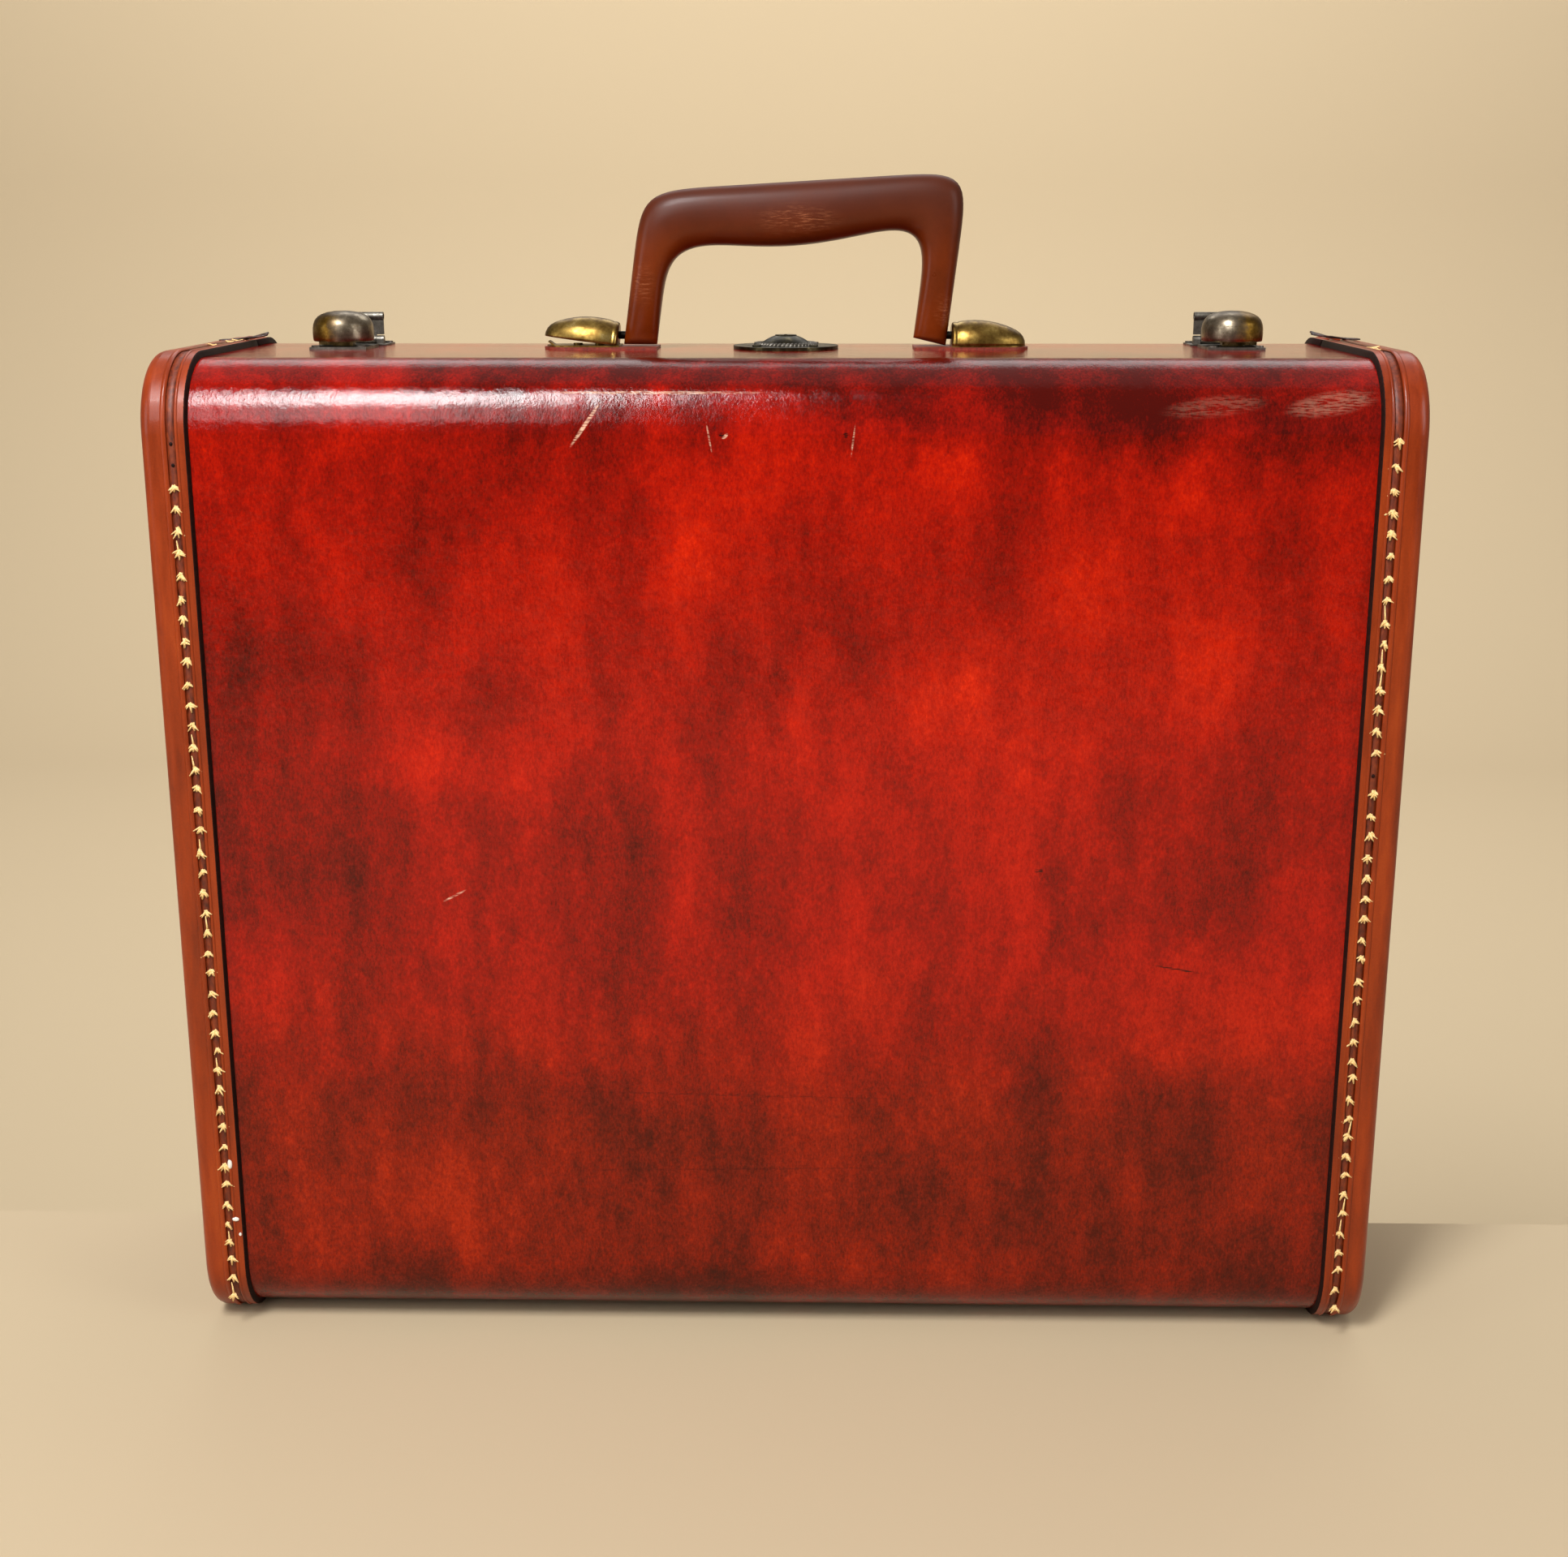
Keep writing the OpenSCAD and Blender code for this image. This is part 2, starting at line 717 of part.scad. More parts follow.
// A point of the handle in width and height, worn to one side
function worn(x, z) =
    let (top = handle_h - pivot_h)
    [x + handle_lean * z, z + grip_slope * x * z / top];

function outer_edge(turn) =
    let (u = arch(turn, handle_square))
    worn(u[0] * handle_w / 2, u[1] * (handle_h - pivot_h));

function inner_edge(turn) =
    let (
        u = arch(turn, opening_square),
        fall = (grip_belly * pow(1 - u[0] * u[0], 2) - opening_tilt * u[0]) * u[1]
    )
    worn(u[0] * (handle_w / 2 - leg_w), u[1] * (handle_h - pivot_h - grip_t) - fall);

// Half the handle's depth, from the eyes at the pins to the middle of the grip
function half_depth(turn) = eye_r + (grip_d / 2 - eye_r) * pow(sin(turn), grip_swell);

// A point of the rounded section between the outer and the inner edge
function section_point(turn, around) =
    let (
        a = outer_edge(turn),
        b = inner_edge(turn),
        c = cos(around),
        s = sin(around),
        k = pow(pow(abs(c), section_square) + pow(abs(s), section_square), -1 / section_square),
        p = (a + b) / 2 + (a - b) / 2 * k * c
    )
    [p[0], hardware_y + half_depth(turn) * k * s, pivot_z + p[1]];

module handle_grip() {
    points = [
        for (ring = [0 : handle_rings], side = [0 : handle_sides - 1])
            section_point(180 * ring / handle_rings, 360 * side / handle_sides)
    ];
    walls = [
        for (ring = [0 : handle_rings - 1], side = [0 : handle_sides - 1])
            let (
                a = ring * handle_sides + side,
                b = ring * handle_sides + (side + 1) % handle_sides
            )
            each [[a, a + handle_sides, b + handle_sides], [a, b + handle_sides, b]]
    ];
    last = handle_rings * handle_sides;
    caps = [
        [for (side = [0 : handle_sides - 1]) side],
        [for (side = [handle_sides - 1 : -1 : 0]) last + side]
    ];
    leg_x = handle_w / 2;
    color(grip_brown) difference() {
        union() {
            polyhedron(points, concat(walls, caps));
            for (side = [-1, 1])
                on_side(side) rod_x(leg_x - leg_w, leg_x, hardware_y, pivot_z, eye_r);
        }
        for (side = [-1, 1])
            on_side(side)
                rod_x(leg_x - pin_hole_l, leg_x + cut, hardware_y, pivot_z, handle_pin_r + run_fit);
    }
}

module handle_pin(side) {
    wall_x = bracket_x + bracket_wall + bracket_h * sin(bracket_lift);
    on_side(side) {
        rod_x(handle_w / 2 - pin_hole_l + slide_fit, wall_x + pin_head_t, hardware_y, pivot_z, handle_pin_r);
        rod_x(wall_x + slide_fit, wall_x + slide_fit + pin_head_t, hardware_y, pivot_z, pin_head_r);
    }
}

module handle_pin_left() { color(bright_steel) handle_pin(-1); }
module handle_pin_right() { color(bright_steel) handle_pin(1); }

// Half a teardrop, flat end at the origin and tip along +X
module teardrop(inset, angle) {
    rotate([90, 0, 90]) rotate([0, 0, angle < 360 ? 0 : 180]) rotate_extrude(angle = angle) intersection() {
        translate([bracket_h - bracket_arc, bracket_peak]) circle(bracket_arc - inset);
        translate([0, inset]) square([bracket_h, bracket_l - 2 * inset]);
    }
}

module handle_bracket(side, lift) {
    on_side(side) difference() {
        translate([bracket_x + bracket_h * sin(lift), hardware_y, bracket_z]) rotate([0, -lift, 0])
            difference() {
                teardrop(0, 180);
                teardrop(bracket_wall, 360);
            }
        rod_x(bracket_x - cut, bracket_x + bracket_peak, hardware_y, pivot_z, handle_pin_r + fixed_fit);
    }
}

module handle_bracket_left() { color(aged_brass) handle_bracket(-1, bracket_lift); }
module handle_bracket_right() { color(aged_brass) handle_bracket(1, 0); }

// Flat strip with a round outer end, lying along the width
module round_ended(from, to, depth, z, t) {
    translate([0, hardware_y, z]) linear_extrude(t) {
        translate([from, -depth / 2]) square([to - depth / 2 - from, depth]);
        translate([to - depth / 2, 0]) circle(depth / 2);
    }
}

module handle_plate(side) {
    end_x = bracket_x + bracket_l;
    difference() {
        on_side(side) {
            round_ended(bracket_x, end_x, plate_d, plate_z, plate_t);
            if (side < 0)
                translate([end_x - tip_l, hardware_y - tip_w / 2, plate_z]) rotate([0, -tip_turn, 0])
                    cube([tip_l, tip_w, plate_t]);
        }
        handle_rivet_places() rivet_hole(0, 0);
    }
}

module handle_plate_left() { color(aged_brass) handle_plate(-1); }
module handle_plate_right() { color(aged_brass) handle_plate(1); }

module handle_pad(side) {
    difference() {
        on_side(side) round_ended(pad_in_x, bracket_x + bracket_l + cut, pad_d, top_z, pad_t);
        handle_rivet_places() rivet_hole(0, 0);
    }
}

module handle_pad_left() { color(pad_leather) handle_pad(-1); }
module handle_pad_right() { color(pad_leather) handle_pad(1); }

module handle_rivets() {
    color(aged_brass) handle_rivet_places() upright_rivet(0, 0, bracket_z, ceiling_z);
}

// Latches

module latch_plate(side) {
    slot_w = stem_w / 2 + slide_fit;
    slot_d = stem_d / 2 + slide_fit;
    difference() {
        on_side(side) difference() {
            box([latch_x - latch_plate_w / 2, latch_plate_front, top_z],
                [latch_x + latch_plate_w / 2, latch_plate_back, latch_z]);
            box([latch_x - slot_w - slide_travel, hardware_y - slot_d, top_z - cut],
                [latch_x + slot_w, hardware_y + slot_d, latch_z + cut]);
        }
        latch_rivet_places() rivet_hole(0, 0);
    }
}

module latch_plate_left() { color(bright_steel) latch_plate(-1); }
module latch_plate_right() { color(bright_steel) latch_plate(1); }

module latch_rivets() {
    color(bright_steel) latch_rivet_places() upright_rivet(0, 0, latch_z, ceiling_z);
}

module dome_body(inset, drop) {
    rotate_extrude() intersection() {
        translate([0, dome_h - dome_arc]) circle(dome_arc - inset);
        translate([0, -drop]) square([dome_r - inset, dome_h + drop]);
    }
}

// Dome, stem, clinched foot and catch finger in one piece that slides sideways
module latch_slide(side) {
    arm_z = latch_z + slide_fit;
    foot_z = top_z - slide_fit - foot_t;
    on_side(side) {
        translate([latch_x, hardware_y, dome_z]) {
            difference() {
                dome_body(0, 0);
                dome_body(dome_t, cut);
            }
            intersection() {
                dome_body(0, 0);
                translate([-stem_w / 2, -stem_d / 2, 0]) cube([stem_w, stem_d, dome_h]);
            }
        }
        box([latch_x - stem_w / 2, hardware_y - stem_d / 2, foot_z],
            [latch_x + stem_w / 2, hardware_y + stem_d / 2, dome_z]);
        box([latch_x - stem_w / 2 - foot_lip, hardware_y - stem_d / 2 - foot_lip, foot_z],
            [latch_x + stem_w / 2 + foot_lip, hardware_y + stem_d / 2 + foot_lip, foot_z + foot_t]);
        box([latch_x, hardware_y - arm_w, arm_z], [hasp_x + arm_in + arm_w, hardware_y + arm_w, dome_z]);
        box([hasp_x + arm_in, hardware_y, arm_z], [hasp_x + arm_in + arm_w, catch_y + finger_r, dome_z]);
        rod_x(hasp_x + finger_in, hasp_x + arm_in + arm_w / 2, catch_y, hasp_z, finger_r);
    }
}

module latch_slide_left() { color(aged_brass) latch_slide(-1); }
module latch_slide_right() { color(aged_brass) latch_slide(1); }

// Hasp standing up, with its curled end on top
module latch_hasp(side) {
    knuckle = hasp_knuckle_w / 2;
    x = side * hasp_x;
    shoulder_z = hasp_z + curl_r + slide_fit;
    curl_z = hasp_z + hasp_l;
    difference() {
        union() {
            rod_x(x - knuckle, x + knuckle, hasp_y, hasp_z, curl_r);
            box([x - knuckle, hasp_y - hasp_t / 2, hasp_z], [x + knuckle, hasp_y + hasp_t / 2, curl_z]);
            box([x - hasp_w / 2, hasp_y - hasp_t / 2, shoulder_z],
                [x + hasp_w / 2, hasp_y + hasp_t / 2, curl_z]);
            rod_x(x - hasp_w / 2, x + hasp_w / 2, hasp_y, curl_z, curl_r);
        }
        rod_x(x - hasp_w, x + hasp_w, hasp_y, curl_z, curl_bore_r);
        rod_x(x - hasp_w, x + hasp_w, hasp_y, hasp_z, hasp_pin_r + run_fit);
    }
}

module latch_hasp_left() { color(aged_brass) latch_hasp(-1); }
module latch_hasp_right() { color(aged_brass) latch_hasp(1); }

module latch_hasp_pin(side) {
    x = side * hasp_x;
    rod_x(x - hasp_w / 2, x + hasp_w / 2, hasp_y, hasp_z, hasp_pin_r);
}

module latch_hasp_pin_left() { color(bright_steel) latch_hasp_pin(-1); }
module latch_hasp_pin_right() { color(bright_steel) latch_hasp_pin(1); }

module latch_keeper(side) {
    difference() {
        translate([side * hasp_x, 0, 0]) difference() {
            union() {
                box([-keeper_w / 2, lid_edge_y + slide_fit, top_z],
                    [keeper_w / 2, hasp_y + keeper_tail, top_z + keeper_t]);
                for (end = [-1, 1]) on_side(end) {
                    box([keeper_knuckle_in, hasp_y - curl_r, top_z], [hasp_w / 2, hasp_y + curl_r, hasp_z]);
                    rod_x(keeper_knuckle_in, hasp_w / 2, hasp_y, hasp_z, curl_r);
                }
            }
            rod_x(-hasp_w, hasp_w, hasp_y, hasp_z, hasp_pin_r + fixed_fit);
        }
        keeper_rivet_places() rivet_hole(0, 0);
    }
}

module latch_keeper_left() { color(bright_steel) latch_keeper(-1); }
module latch_keeper_right() { color(bright_steel) latch_keeper(1); }

module keeper_rivets() {
    color(bright_steel) keeper_rivet_places() upright_rivet(0, 0, top_z + keeper_t, ceiling_z);
}

// Lock

module lock_flange() {
    color(aged_brass) difference() {
        translate([0, hardware_y, top_z]) cylinder(r = flange_r, h = flange_t);
        translate([0, hardware_y, top_z - cut]) cylinder(r = plug_r + run_fit, h = flange_t + 2 * cut);
        flange_rivet_places() rivet_hole(0, 0);
    }
}

module lock_dome() {
    color(aged_brass) translate([0, hardware_y, top_z + flange_t]) rotate_extrude() difference() {
        intersection() {
            translate([0, lock_dome_h - lock_arc]) circle(lock_arc);
            square([lock_dome_r, lock_dome_flat]);
        }
        translate([-cut, -cut]) square([plug_r + run_fit + cut, lock_dome_h + 2 * cut]);
    }
}

// Plug with a key slot on top and a crank disc and pin below
module lock_plug() {
    face_z = top_z + flange_t + lock_dome_flat;
    color(aged_brass) translate([0, hardware_y, 0]) difference() {
        union() {
            translate([0, 0, crank_z]) cylinder(r = plug_r, h = face_z - crank_z);
            translate([0, 0, crank_z]) cylinder(r = crank_disc_r, h = crank_t);
            rotate([0, 0, -45]) translate([crank_l, 0, bolt_z + slide_fit])
                cylinder(r = crank_r, h = crank_z - bolt_z);
        }
        translate([-key_w / 2, -key_l / 2, face_z - key_h]) cube([key_w, key_l, key_h + cut]);
    }
}

module lock_case() {
    half_w = lock_case_w / 2;
    front_y = hardware_y - lock_case_front;
    window = bolt_w / 2 + slide_fit;
    color(bright_steel) difference() {
        union() {
            box([-half_w, front_y, lock_floor_z - lock_case_t], [half_w, lock_case_back, ceiling_z]);
            box([-half_w - ear_w, hardware_y - ear_w / 2, ceiling_z - lock_case_t],
                [half_w + ear_w, hardware_y + ear_w / 2, ceiling_z]);
        }
        box([-half_w + lock_case_t, front_y + lock_case_t, lock_floor_z],
            [half_w - lock_case_t, lock_case_back - lock_case_t, ceiling_z + cut]);
        box([-window, hardware_y, lock_floor_z], [window, case_d, bolt_z + bolt_t + slide_fit]);
        ear_rivet_places() translate([0, 0, -ceiling_z / 2]) rivet_hole(0, 0);
    }
}

// Bolt plate with a cross slot for the crank pin
module lock_bolt() {
    slot = crank_r + slide_fit;
    slot_y = hardware_y - crank_l / sqrt(2);
    color(bright_steel) difference() {
        box([-bolt_w / 2, bolt_front_y, bolt_z], [bolt_w / 2, bolt_nose_y, bolt_z + bolt_t]);
        box([crank_l / sqrt(2) - slot, slot_y - slot, bolt_z - cut],
            [crank_l + slot, slot_y + slot, bolt_z + bolt_t + cut]);
    }
}

module lock_striker() {
    half_w = striker_w / 2;
    window = bolt_w / 2 + slide_fit;
    color(bright_steel) difference() {
        union() {
            box([-half_w, striker_y, striker_drop_z], [half_w, striker_y + striker_t, ceiling_z]);
            box([-half_w, striker_y, ceiling_z - striker_t], [half_w, striker_y + striker_foot, ceiling_z]);
        }
        box([-window, striker_y - cut, bolt_z - slide_fit],
            [window, striker_y + striker_t + cut, bolt_z + bolt_t + slide_fit]);
    }
}

module lock_rivets() {
    color(aged_brass) {
        flange_rivet_places() upright_rivet(0, 0, top_z + flange_t, ceiling_z + cut);
        ear_rivet_places() hanging_rivet(0, 0, ceiling_z - lock_case_t, top_z - cover_t);
    }
}

base_shell();
base_end_left();
base_end_right();
base_cover();
base_binding_left();
base_binding_right();
base_rim();
base_lining();
lid_shell();
lid_end_left();
lid_end_right();
lid_cover();
lid_binding_left();
lid_binding_right();
lid_lining();
hinge_base_leaf_left();
hinge_base_leaf_right();
hinge_lid_leaf_left();
hinge_lid_leaf_right();
hinge_pin_left();
hinge_pin_right();
hinge_base_rivets();
hinge_lid_rivets();
handle_grip();
handle_pin_left();
handle_pin_right();
handle_bracket_left();
handle_bracket_right();
handle_plate_left();
handle_plate_right();
handle_pad_left();
handle_pad_right();
handle_rivets();
latch_plate_left();
latch_plate_right();
latch_rivets();
latch_slide_left();
latch_slide_right();
latch_hasp_left();
latch_hasp_right();
latch_hasp_pin_left();
latch_hasp_pin_right();
latch_keeper_left();
latch_keeper_right();
keeper_rivets();
lock_flange();
lock_dome();
lock_plug();
lock_case();
lock_bolt();
lock_striker();
lock_rivets();
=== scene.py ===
"""Looks of the vintage suitcase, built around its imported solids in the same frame."""

import math
import random

import bmesh
import bpy
from mathutils import Matrix, Vector


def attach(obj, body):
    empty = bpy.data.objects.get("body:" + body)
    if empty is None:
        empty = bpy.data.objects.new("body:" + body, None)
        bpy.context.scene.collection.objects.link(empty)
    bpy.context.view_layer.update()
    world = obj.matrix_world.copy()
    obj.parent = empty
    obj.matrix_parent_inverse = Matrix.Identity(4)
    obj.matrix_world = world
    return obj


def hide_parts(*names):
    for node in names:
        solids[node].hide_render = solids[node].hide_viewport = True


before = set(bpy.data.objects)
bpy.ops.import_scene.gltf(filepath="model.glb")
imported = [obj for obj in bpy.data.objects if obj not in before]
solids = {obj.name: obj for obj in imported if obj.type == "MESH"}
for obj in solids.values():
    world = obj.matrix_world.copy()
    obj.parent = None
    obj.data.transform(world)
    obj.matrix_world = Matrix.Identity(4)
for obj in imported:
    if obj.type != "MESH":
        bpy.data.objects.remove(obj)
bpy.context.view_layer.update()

MM = 0.001
QUARTER = math.radians(90)

# Signs of X at the two ends of the case
SIDES = {"left": -1, "right": 1}

# Sizes of the solids that the added pieces follow, in metres
CASE_HALF_D = 75 * MM
CASE_H = 381 * MM
CORNER_R = 27.5 * MM
BASE_D = 102.7 * MM
LID_D = 46.7 * MM
BOTTOM_STOP = 4 * MM
GROOVE_X = 217 * MM
HARDWARE_Y = 12 * MM
PIVOT_Z = 383.6 * MM
LATCH_X = 173 * MM
BRACKET_X = 64.3 * MM
BRACKET_H = 9.4 * MM
BRACKET_Z = 380 * MM
BRACKET_LIFT = math.radians(7)
FLANGE_TOP = 379.8 * MM

# Socket numbers of the Map Range and the Mix node, whose socket names repeat
VALUE, FROM_LOW, FROM_HIGH, TO_LOW, TO_HIGH = range(5)
MIX_SHARE, MIX_FIRST, MIX_SECOND, MIX_RESULT = 0, 6, 7, 2


def linear(colour):
    """The linear colour of an sRGB hex value."""
    parts = [int(colour[i : i + 2], 16) / 255 for i in (1, 3, 5)]
    return [p / 12.92 if p <= 0.04045 else ((p + 0.055) / 1.055) ** 2.4 for p in parts] + [1]


def add_node(tree, kind, inputs=None, stops=None, **settings):
    """Adds a node with its settings, its colour stops and its filled or linked inputs."""
    made = tree.nodes.new("ShaderNode" + kind)
    for name, value in settings.items():
        setattr(made, name, value)
    for key, value in (inputs or {}).items():
        if isinstance(value, bpy.types.NodeSocket):
            tree.links.new(value, made.inputs[key])
        else:
            made.inputs[key].default_value = value
    if stops:
        ramp = made.color_ramp.elements
        while len(ramp) < len(stops):
            ramp.new(0.5)
        for element, (at, colour) in zip(ramp, stops):
            element.position = at
            element.color = linear(colour)
    return made


def new_material(name, **constants):
    """A principled material, its tree, its shader and its Object coordinates."""
    material = bpy.data.materials.new(name)
    material.use_nodes = True
    tree = material.node_tree
    shader = tree.nodes["Principled BSDF"]
    for key, value in constants.items():
        shader.inputs[key.replace("_", " ")].default_value = value
    place = add_node(tree, "TexCoord").outputs["Object"]
    return material, tree, shader, place


def link_shader(tree, shader, **sources):
    """Links outputs to the shader's sockets of those names."""
    for key, source in sources.items():
        tree.links.new(source, shader.inputs[key.replace("_", " ")])


# Half sizes from its middle at which a soft patch has faded out
PATCH_REACH = 1.25


def soft_patch(tree, start, middle, half, turn=0, edge=0.0):
    """The share of a soft oval patch, sizes in mm: 1 in its middle, 0 a little past its edge."""
    oval = add_node(
        tree,
        "Mapping",
        {
            "Vector": start,
            "Location": Vector(middle) * MM,
            "Rotation": (0, math.radians(turn), 0),
            "Scale": Vector(half) * MM,
        },
        vector_type="TEXTURE",
    )
    reach = add_node(tree, "VectorMath", {0: oval.outputs[0]}, operation="LENGTH").outputs["Value"]
    return add_node(
        tree,
        "MapRange",
        {VALUE: reach, FROM_LOW: PATCH_REACH, FROM_HIGH: edge},
        interpolation_type="SMOOTHSTEP",
    ).outputs[0]


# Clouds of the covering's face: middle X and Z, half sizes in mm, and lift of the colour
FACE_Y_MM = -72.5
CLOUD_DEPTH_MM = 70
CLOUDS = [
    (102, 300, 24, 34, 0.30),
    (65, 252, 46, 36, 0.28),
    (60, 339, 34, 22, 0.14),
    (-165, 300, 32, 32, 0.20),
    (-95, 300, 26, 34, 0.18),
    (-33, 306, 17, 46, 0.18),
    (144, 268, 44, 46, 0.22),
    (147, 138, 54, 32, 0.26),
    (42, 121, 60, 52, 0.08),
    (-185, 235, 46, 70, -0.20),
    (-141, 55, 66, 26, 0.20),
    (80, 88, 26, 36, 0.16),
    (-121, 233, 60, 26, 0.12),
    (133, 322, 34, 40, 0.16),
    (0, 215, 60, 40, 0.08),
    (99, 184, 8, 120, -0.18),
    (-53, 315, 6, 36, -0.14),
    (-52, 74, 7, 40, -0.18),
    (152, 298, 7, 30, -0.12),
    (42, 362, 22, 9, -0.18),
    (90, 120, 7, 40, -0.14),
    (2, 263, 8, 32, -0.16),
    (-62, 188, 24, 60, -0.12),
    (-147, 188, 60, 48, -0.14),
    (-101, 104, 90, 22, -0.18),
    (-36, 84, 54, 26, -0.18),
    (168, 84, 56, 26, -0.20),
    (176, 38, 66, 36, -0.22),
    (56, 56, 80, 34, -0.20),
    (-60, 14, 190, 20, -0.18),
    # The last three rows are painted shade along the rounded top edge
    (0, 382, 260, 22, -0.50),
    (-20, 362, 230, 18, -0.14),
    (150, 360, 96, 26, -0.42),
]

# Marks on the face: middle X and Z, half length and half width in mm, turn in degrees, pale or dark share
MARK_DEPTH_MM = 30
MARK_EDGE = 0.6
MARKS = [
    (-69.5, 356.5, 8.5, 0.7, -55, 0.9),
    # The next two are pale scuffs on the curve of the top edge, made paler by a painted sheen
    (194, 364, 15, 3.8, -9, 0.15),
    (153, 363, 17, 3.4, -6, 0.07),
    # The next two are nail holes, drawn as dark dots of painted shade
    (-21, 353, 1.0, 1.0, 0, -1.0),
    (23, 353, 1.0, 1.0, 0, -1.0),
    (-19.8, 352.6, 1.3, 0.6, -40, 0.9),
    (-25.5, 352, 5, 0.35, 80, 0.5),
    (25.6, 351, 5, 0.35, 97, 0.5),
    (-123, 181, 4.5, 0.45, -28, 0.8),
    (149, 153.5, 9, 0.4, 10, -0.9),
    (-20, 101, 70, 0.5, 1, -0.35),
    (-20, 70, 62, 0.5, -1, -0.35),
    (96, 192, 1.6, 1.2, 0, -0.9),
    (-46, 367.5, 40, 0.5, 0, 0.5),
]
PALE_MARK, DARK_MARK = "#dcae92", "#240402"


def lacquered_covering():
    """Marbled paper under clear lacquer: a deep, clouded red with fine specks and a wet gloss."""
    material, tree, shader, place = new_material(
        "lacquered_covering",
        Roughness=0.4,
        Specular_IOR_Level=0.0,
        Coat_Weight=1.0,
        Coat_Roughness=0.07,
        Coat_IOR=1.36,
    )
    # The clouds' edges waver by about 12 mm
    waver = add_node(
        tree, "TexNoise", {"Vector": place, "Scale": 1 / (38 * MM), "Detail": 7, "Roughness": 0.68}
    ).outputs["Color"]
    centred = add_node(tree, "VectorMath", {0: waver, 1: (0.5, 0.5, 0.5)}, operation="SUBTRACT").outputs[0]
    pushed = add_node(
        tree, "VectorMath", {0: centred, 1: (56 * MM, 0, 72 * MM), 2: place}, operation="MULTIPLY_ADD"
    ).outputs[0]
    # The colour was wiped on downwards, in streaks some 30 mm wide and 80 mm tall
    tall = add_node(tree, "VectorMath", {0: place, 1: (1, 1, 0.36)}, operation="MULTIPLY").outputs[0]
    wipe = add_node(
        tree, "TexNoise", {"Vector": tall, "Scale": 1 / (30 * MM), "Detail": 8, "Roughness": 0.68}
    ).outputs["Fac"]
    # Mottling of some 5 mm and hair-like specks of 0.8 mm, coarser than the real 0.3 mm so that they show
    mottle = add_node(
        tree, "TexNoise", {"Vector": place, "Scale": 1 / (5 * MM), "Detail": 8, "Roughness": 0.75}
    ).outputs["Fac"]
    hairs = add_node(tree, "VectorMath", {0: place, 1: (1, 1, 0.5)}, operation="MULTIPLY").outputs[0]
    specks = add_node(
        tree, "TexNoise", {"Vector": hairs, "Scale": 1 / (0.8 * MM), "Detail": 3, "Roughness": 0.7}
    ).outputs["Fac"]
    layers = []
    for x, z, half_x, half_z, lift in CLOUDS:
        cloud = soft_patch(tree, pushed, (x, FACE_Y_MM, z), (half_x, CLOUD_DEPTH_MM, half_z))
        layers.append((cloud, lift))
    layers += [(mottle, 0.7), (specks, 0.9)]
    total = add_node(
        tree, "MapRange", {VALUE: wipe, FROM_LOW: 0.3, FROM_HIGH: 0.7, TO_LOW: 0.08, TO_HIGH: 0.7}
    ).outputs[0]
    for layer, lift in layers:
        total = add_node(tree, "Math", {0: layer, 1: lift, 2: total}, operation="MULTIPLY_ADD").outputs[0]
    level = add_node(tree, "MapRange", {VALUE: total, FROM_LOW: 0.66, FROM_HIGH: 1.9}).outputs[0]
    red = add_node(
        tree,
        "ValToRGB",
        {0: level},
        stops=[
            (0.0, "#420300"),
            (0.2, "#640500"),
            (0.42, "#860900"),
            (0.62, "#a21000"),
            (0.82, "#bc1b00"),
            (1.0, "#d63008"),
        ],
    ).outputs["Color"]
    # The lower third has browned with age
    brown = add_node(
        tree,
        "ValToRGB",
        {0: level},
        stops=[(0.0, "#360700"), (0.25, "#560c00"), (0.5, "#7c1400"), (0.75, "#9e2000"), (1.0, "#ba3206")],
    ).outputs["Color"]
    height = add_node(tree, "SeparateXYZ", {0: pushed}).outputs["Z"]
    low = add_node(
        tree,
        "MapRange",
        {VALUE: height, FROM_LOW: 170 * MM, FROM_HIGH: 70 * MM},
        interpolation_type="SMOOTHSTEP",
    ).outputs[0]
    colour = add_node(
        tree, "Mix", {MIX_SHARE: low, MIX_FIRST: red, MIX_SECOND: brown}, data_type="RGBA"
    ).outputs[MIX_RESULT]
    # Marks break up into hatching of 0.5 by 3 mm
    hatched = add_node(
        tree, "Mapping", {"Vector": place, "Rotation": (0, math.radians(28), 0), "Scale": (0.3, 1, 2)}
    ).outputs[0]
    hatching = add_node(
        tree, "TexNoise", {"Vector": hatched, "Scale": 1 / (1.1 * MM), "Detail": 3}
    ).outputs["Fac"]
    broken = add_node(
        tree, "MapRange", {VALUE: hatching, FROM_LOW: 0.4, FROM_HIGH: 0.58, TO_LOW: 0.06, TO_HIGH: 1.1}
    ).outputs[0]
    marked = {PALE_MARK: 0.0, DARK_MARK: 0.0}
    for x, z, half_l, half_w, turn, share in MARKS:
        tint = PALE_MARK if share > 0 else DARK_MARK
        mark = soft_patch(tree, place, (x, FACE_Y_MM, z), (half_l, MARK_DEPTH_MM, half_w), turn, MARK_EDGE)
        marked[tint] = add_node(
            tree, "Math", {0: mark, 1: abs(share), 2: marked[tint]}, operation="MULTIPLY_ADD"
        ).outputs[0]
    for tint, amount in marked.items():
        seen = add_node(tree, "Math", {0: amount, 1: broken}, operation="MULTIPLY", use_clamp=True).outputs[0]
        colour = add_node(
            tree, "Mix", {MIX_SHARE: seen, MIX_FIRST: colour, MIX_SECOND: linear(tint)}, data_type="RGBA"
        ).outputs[MIX_RESULT]
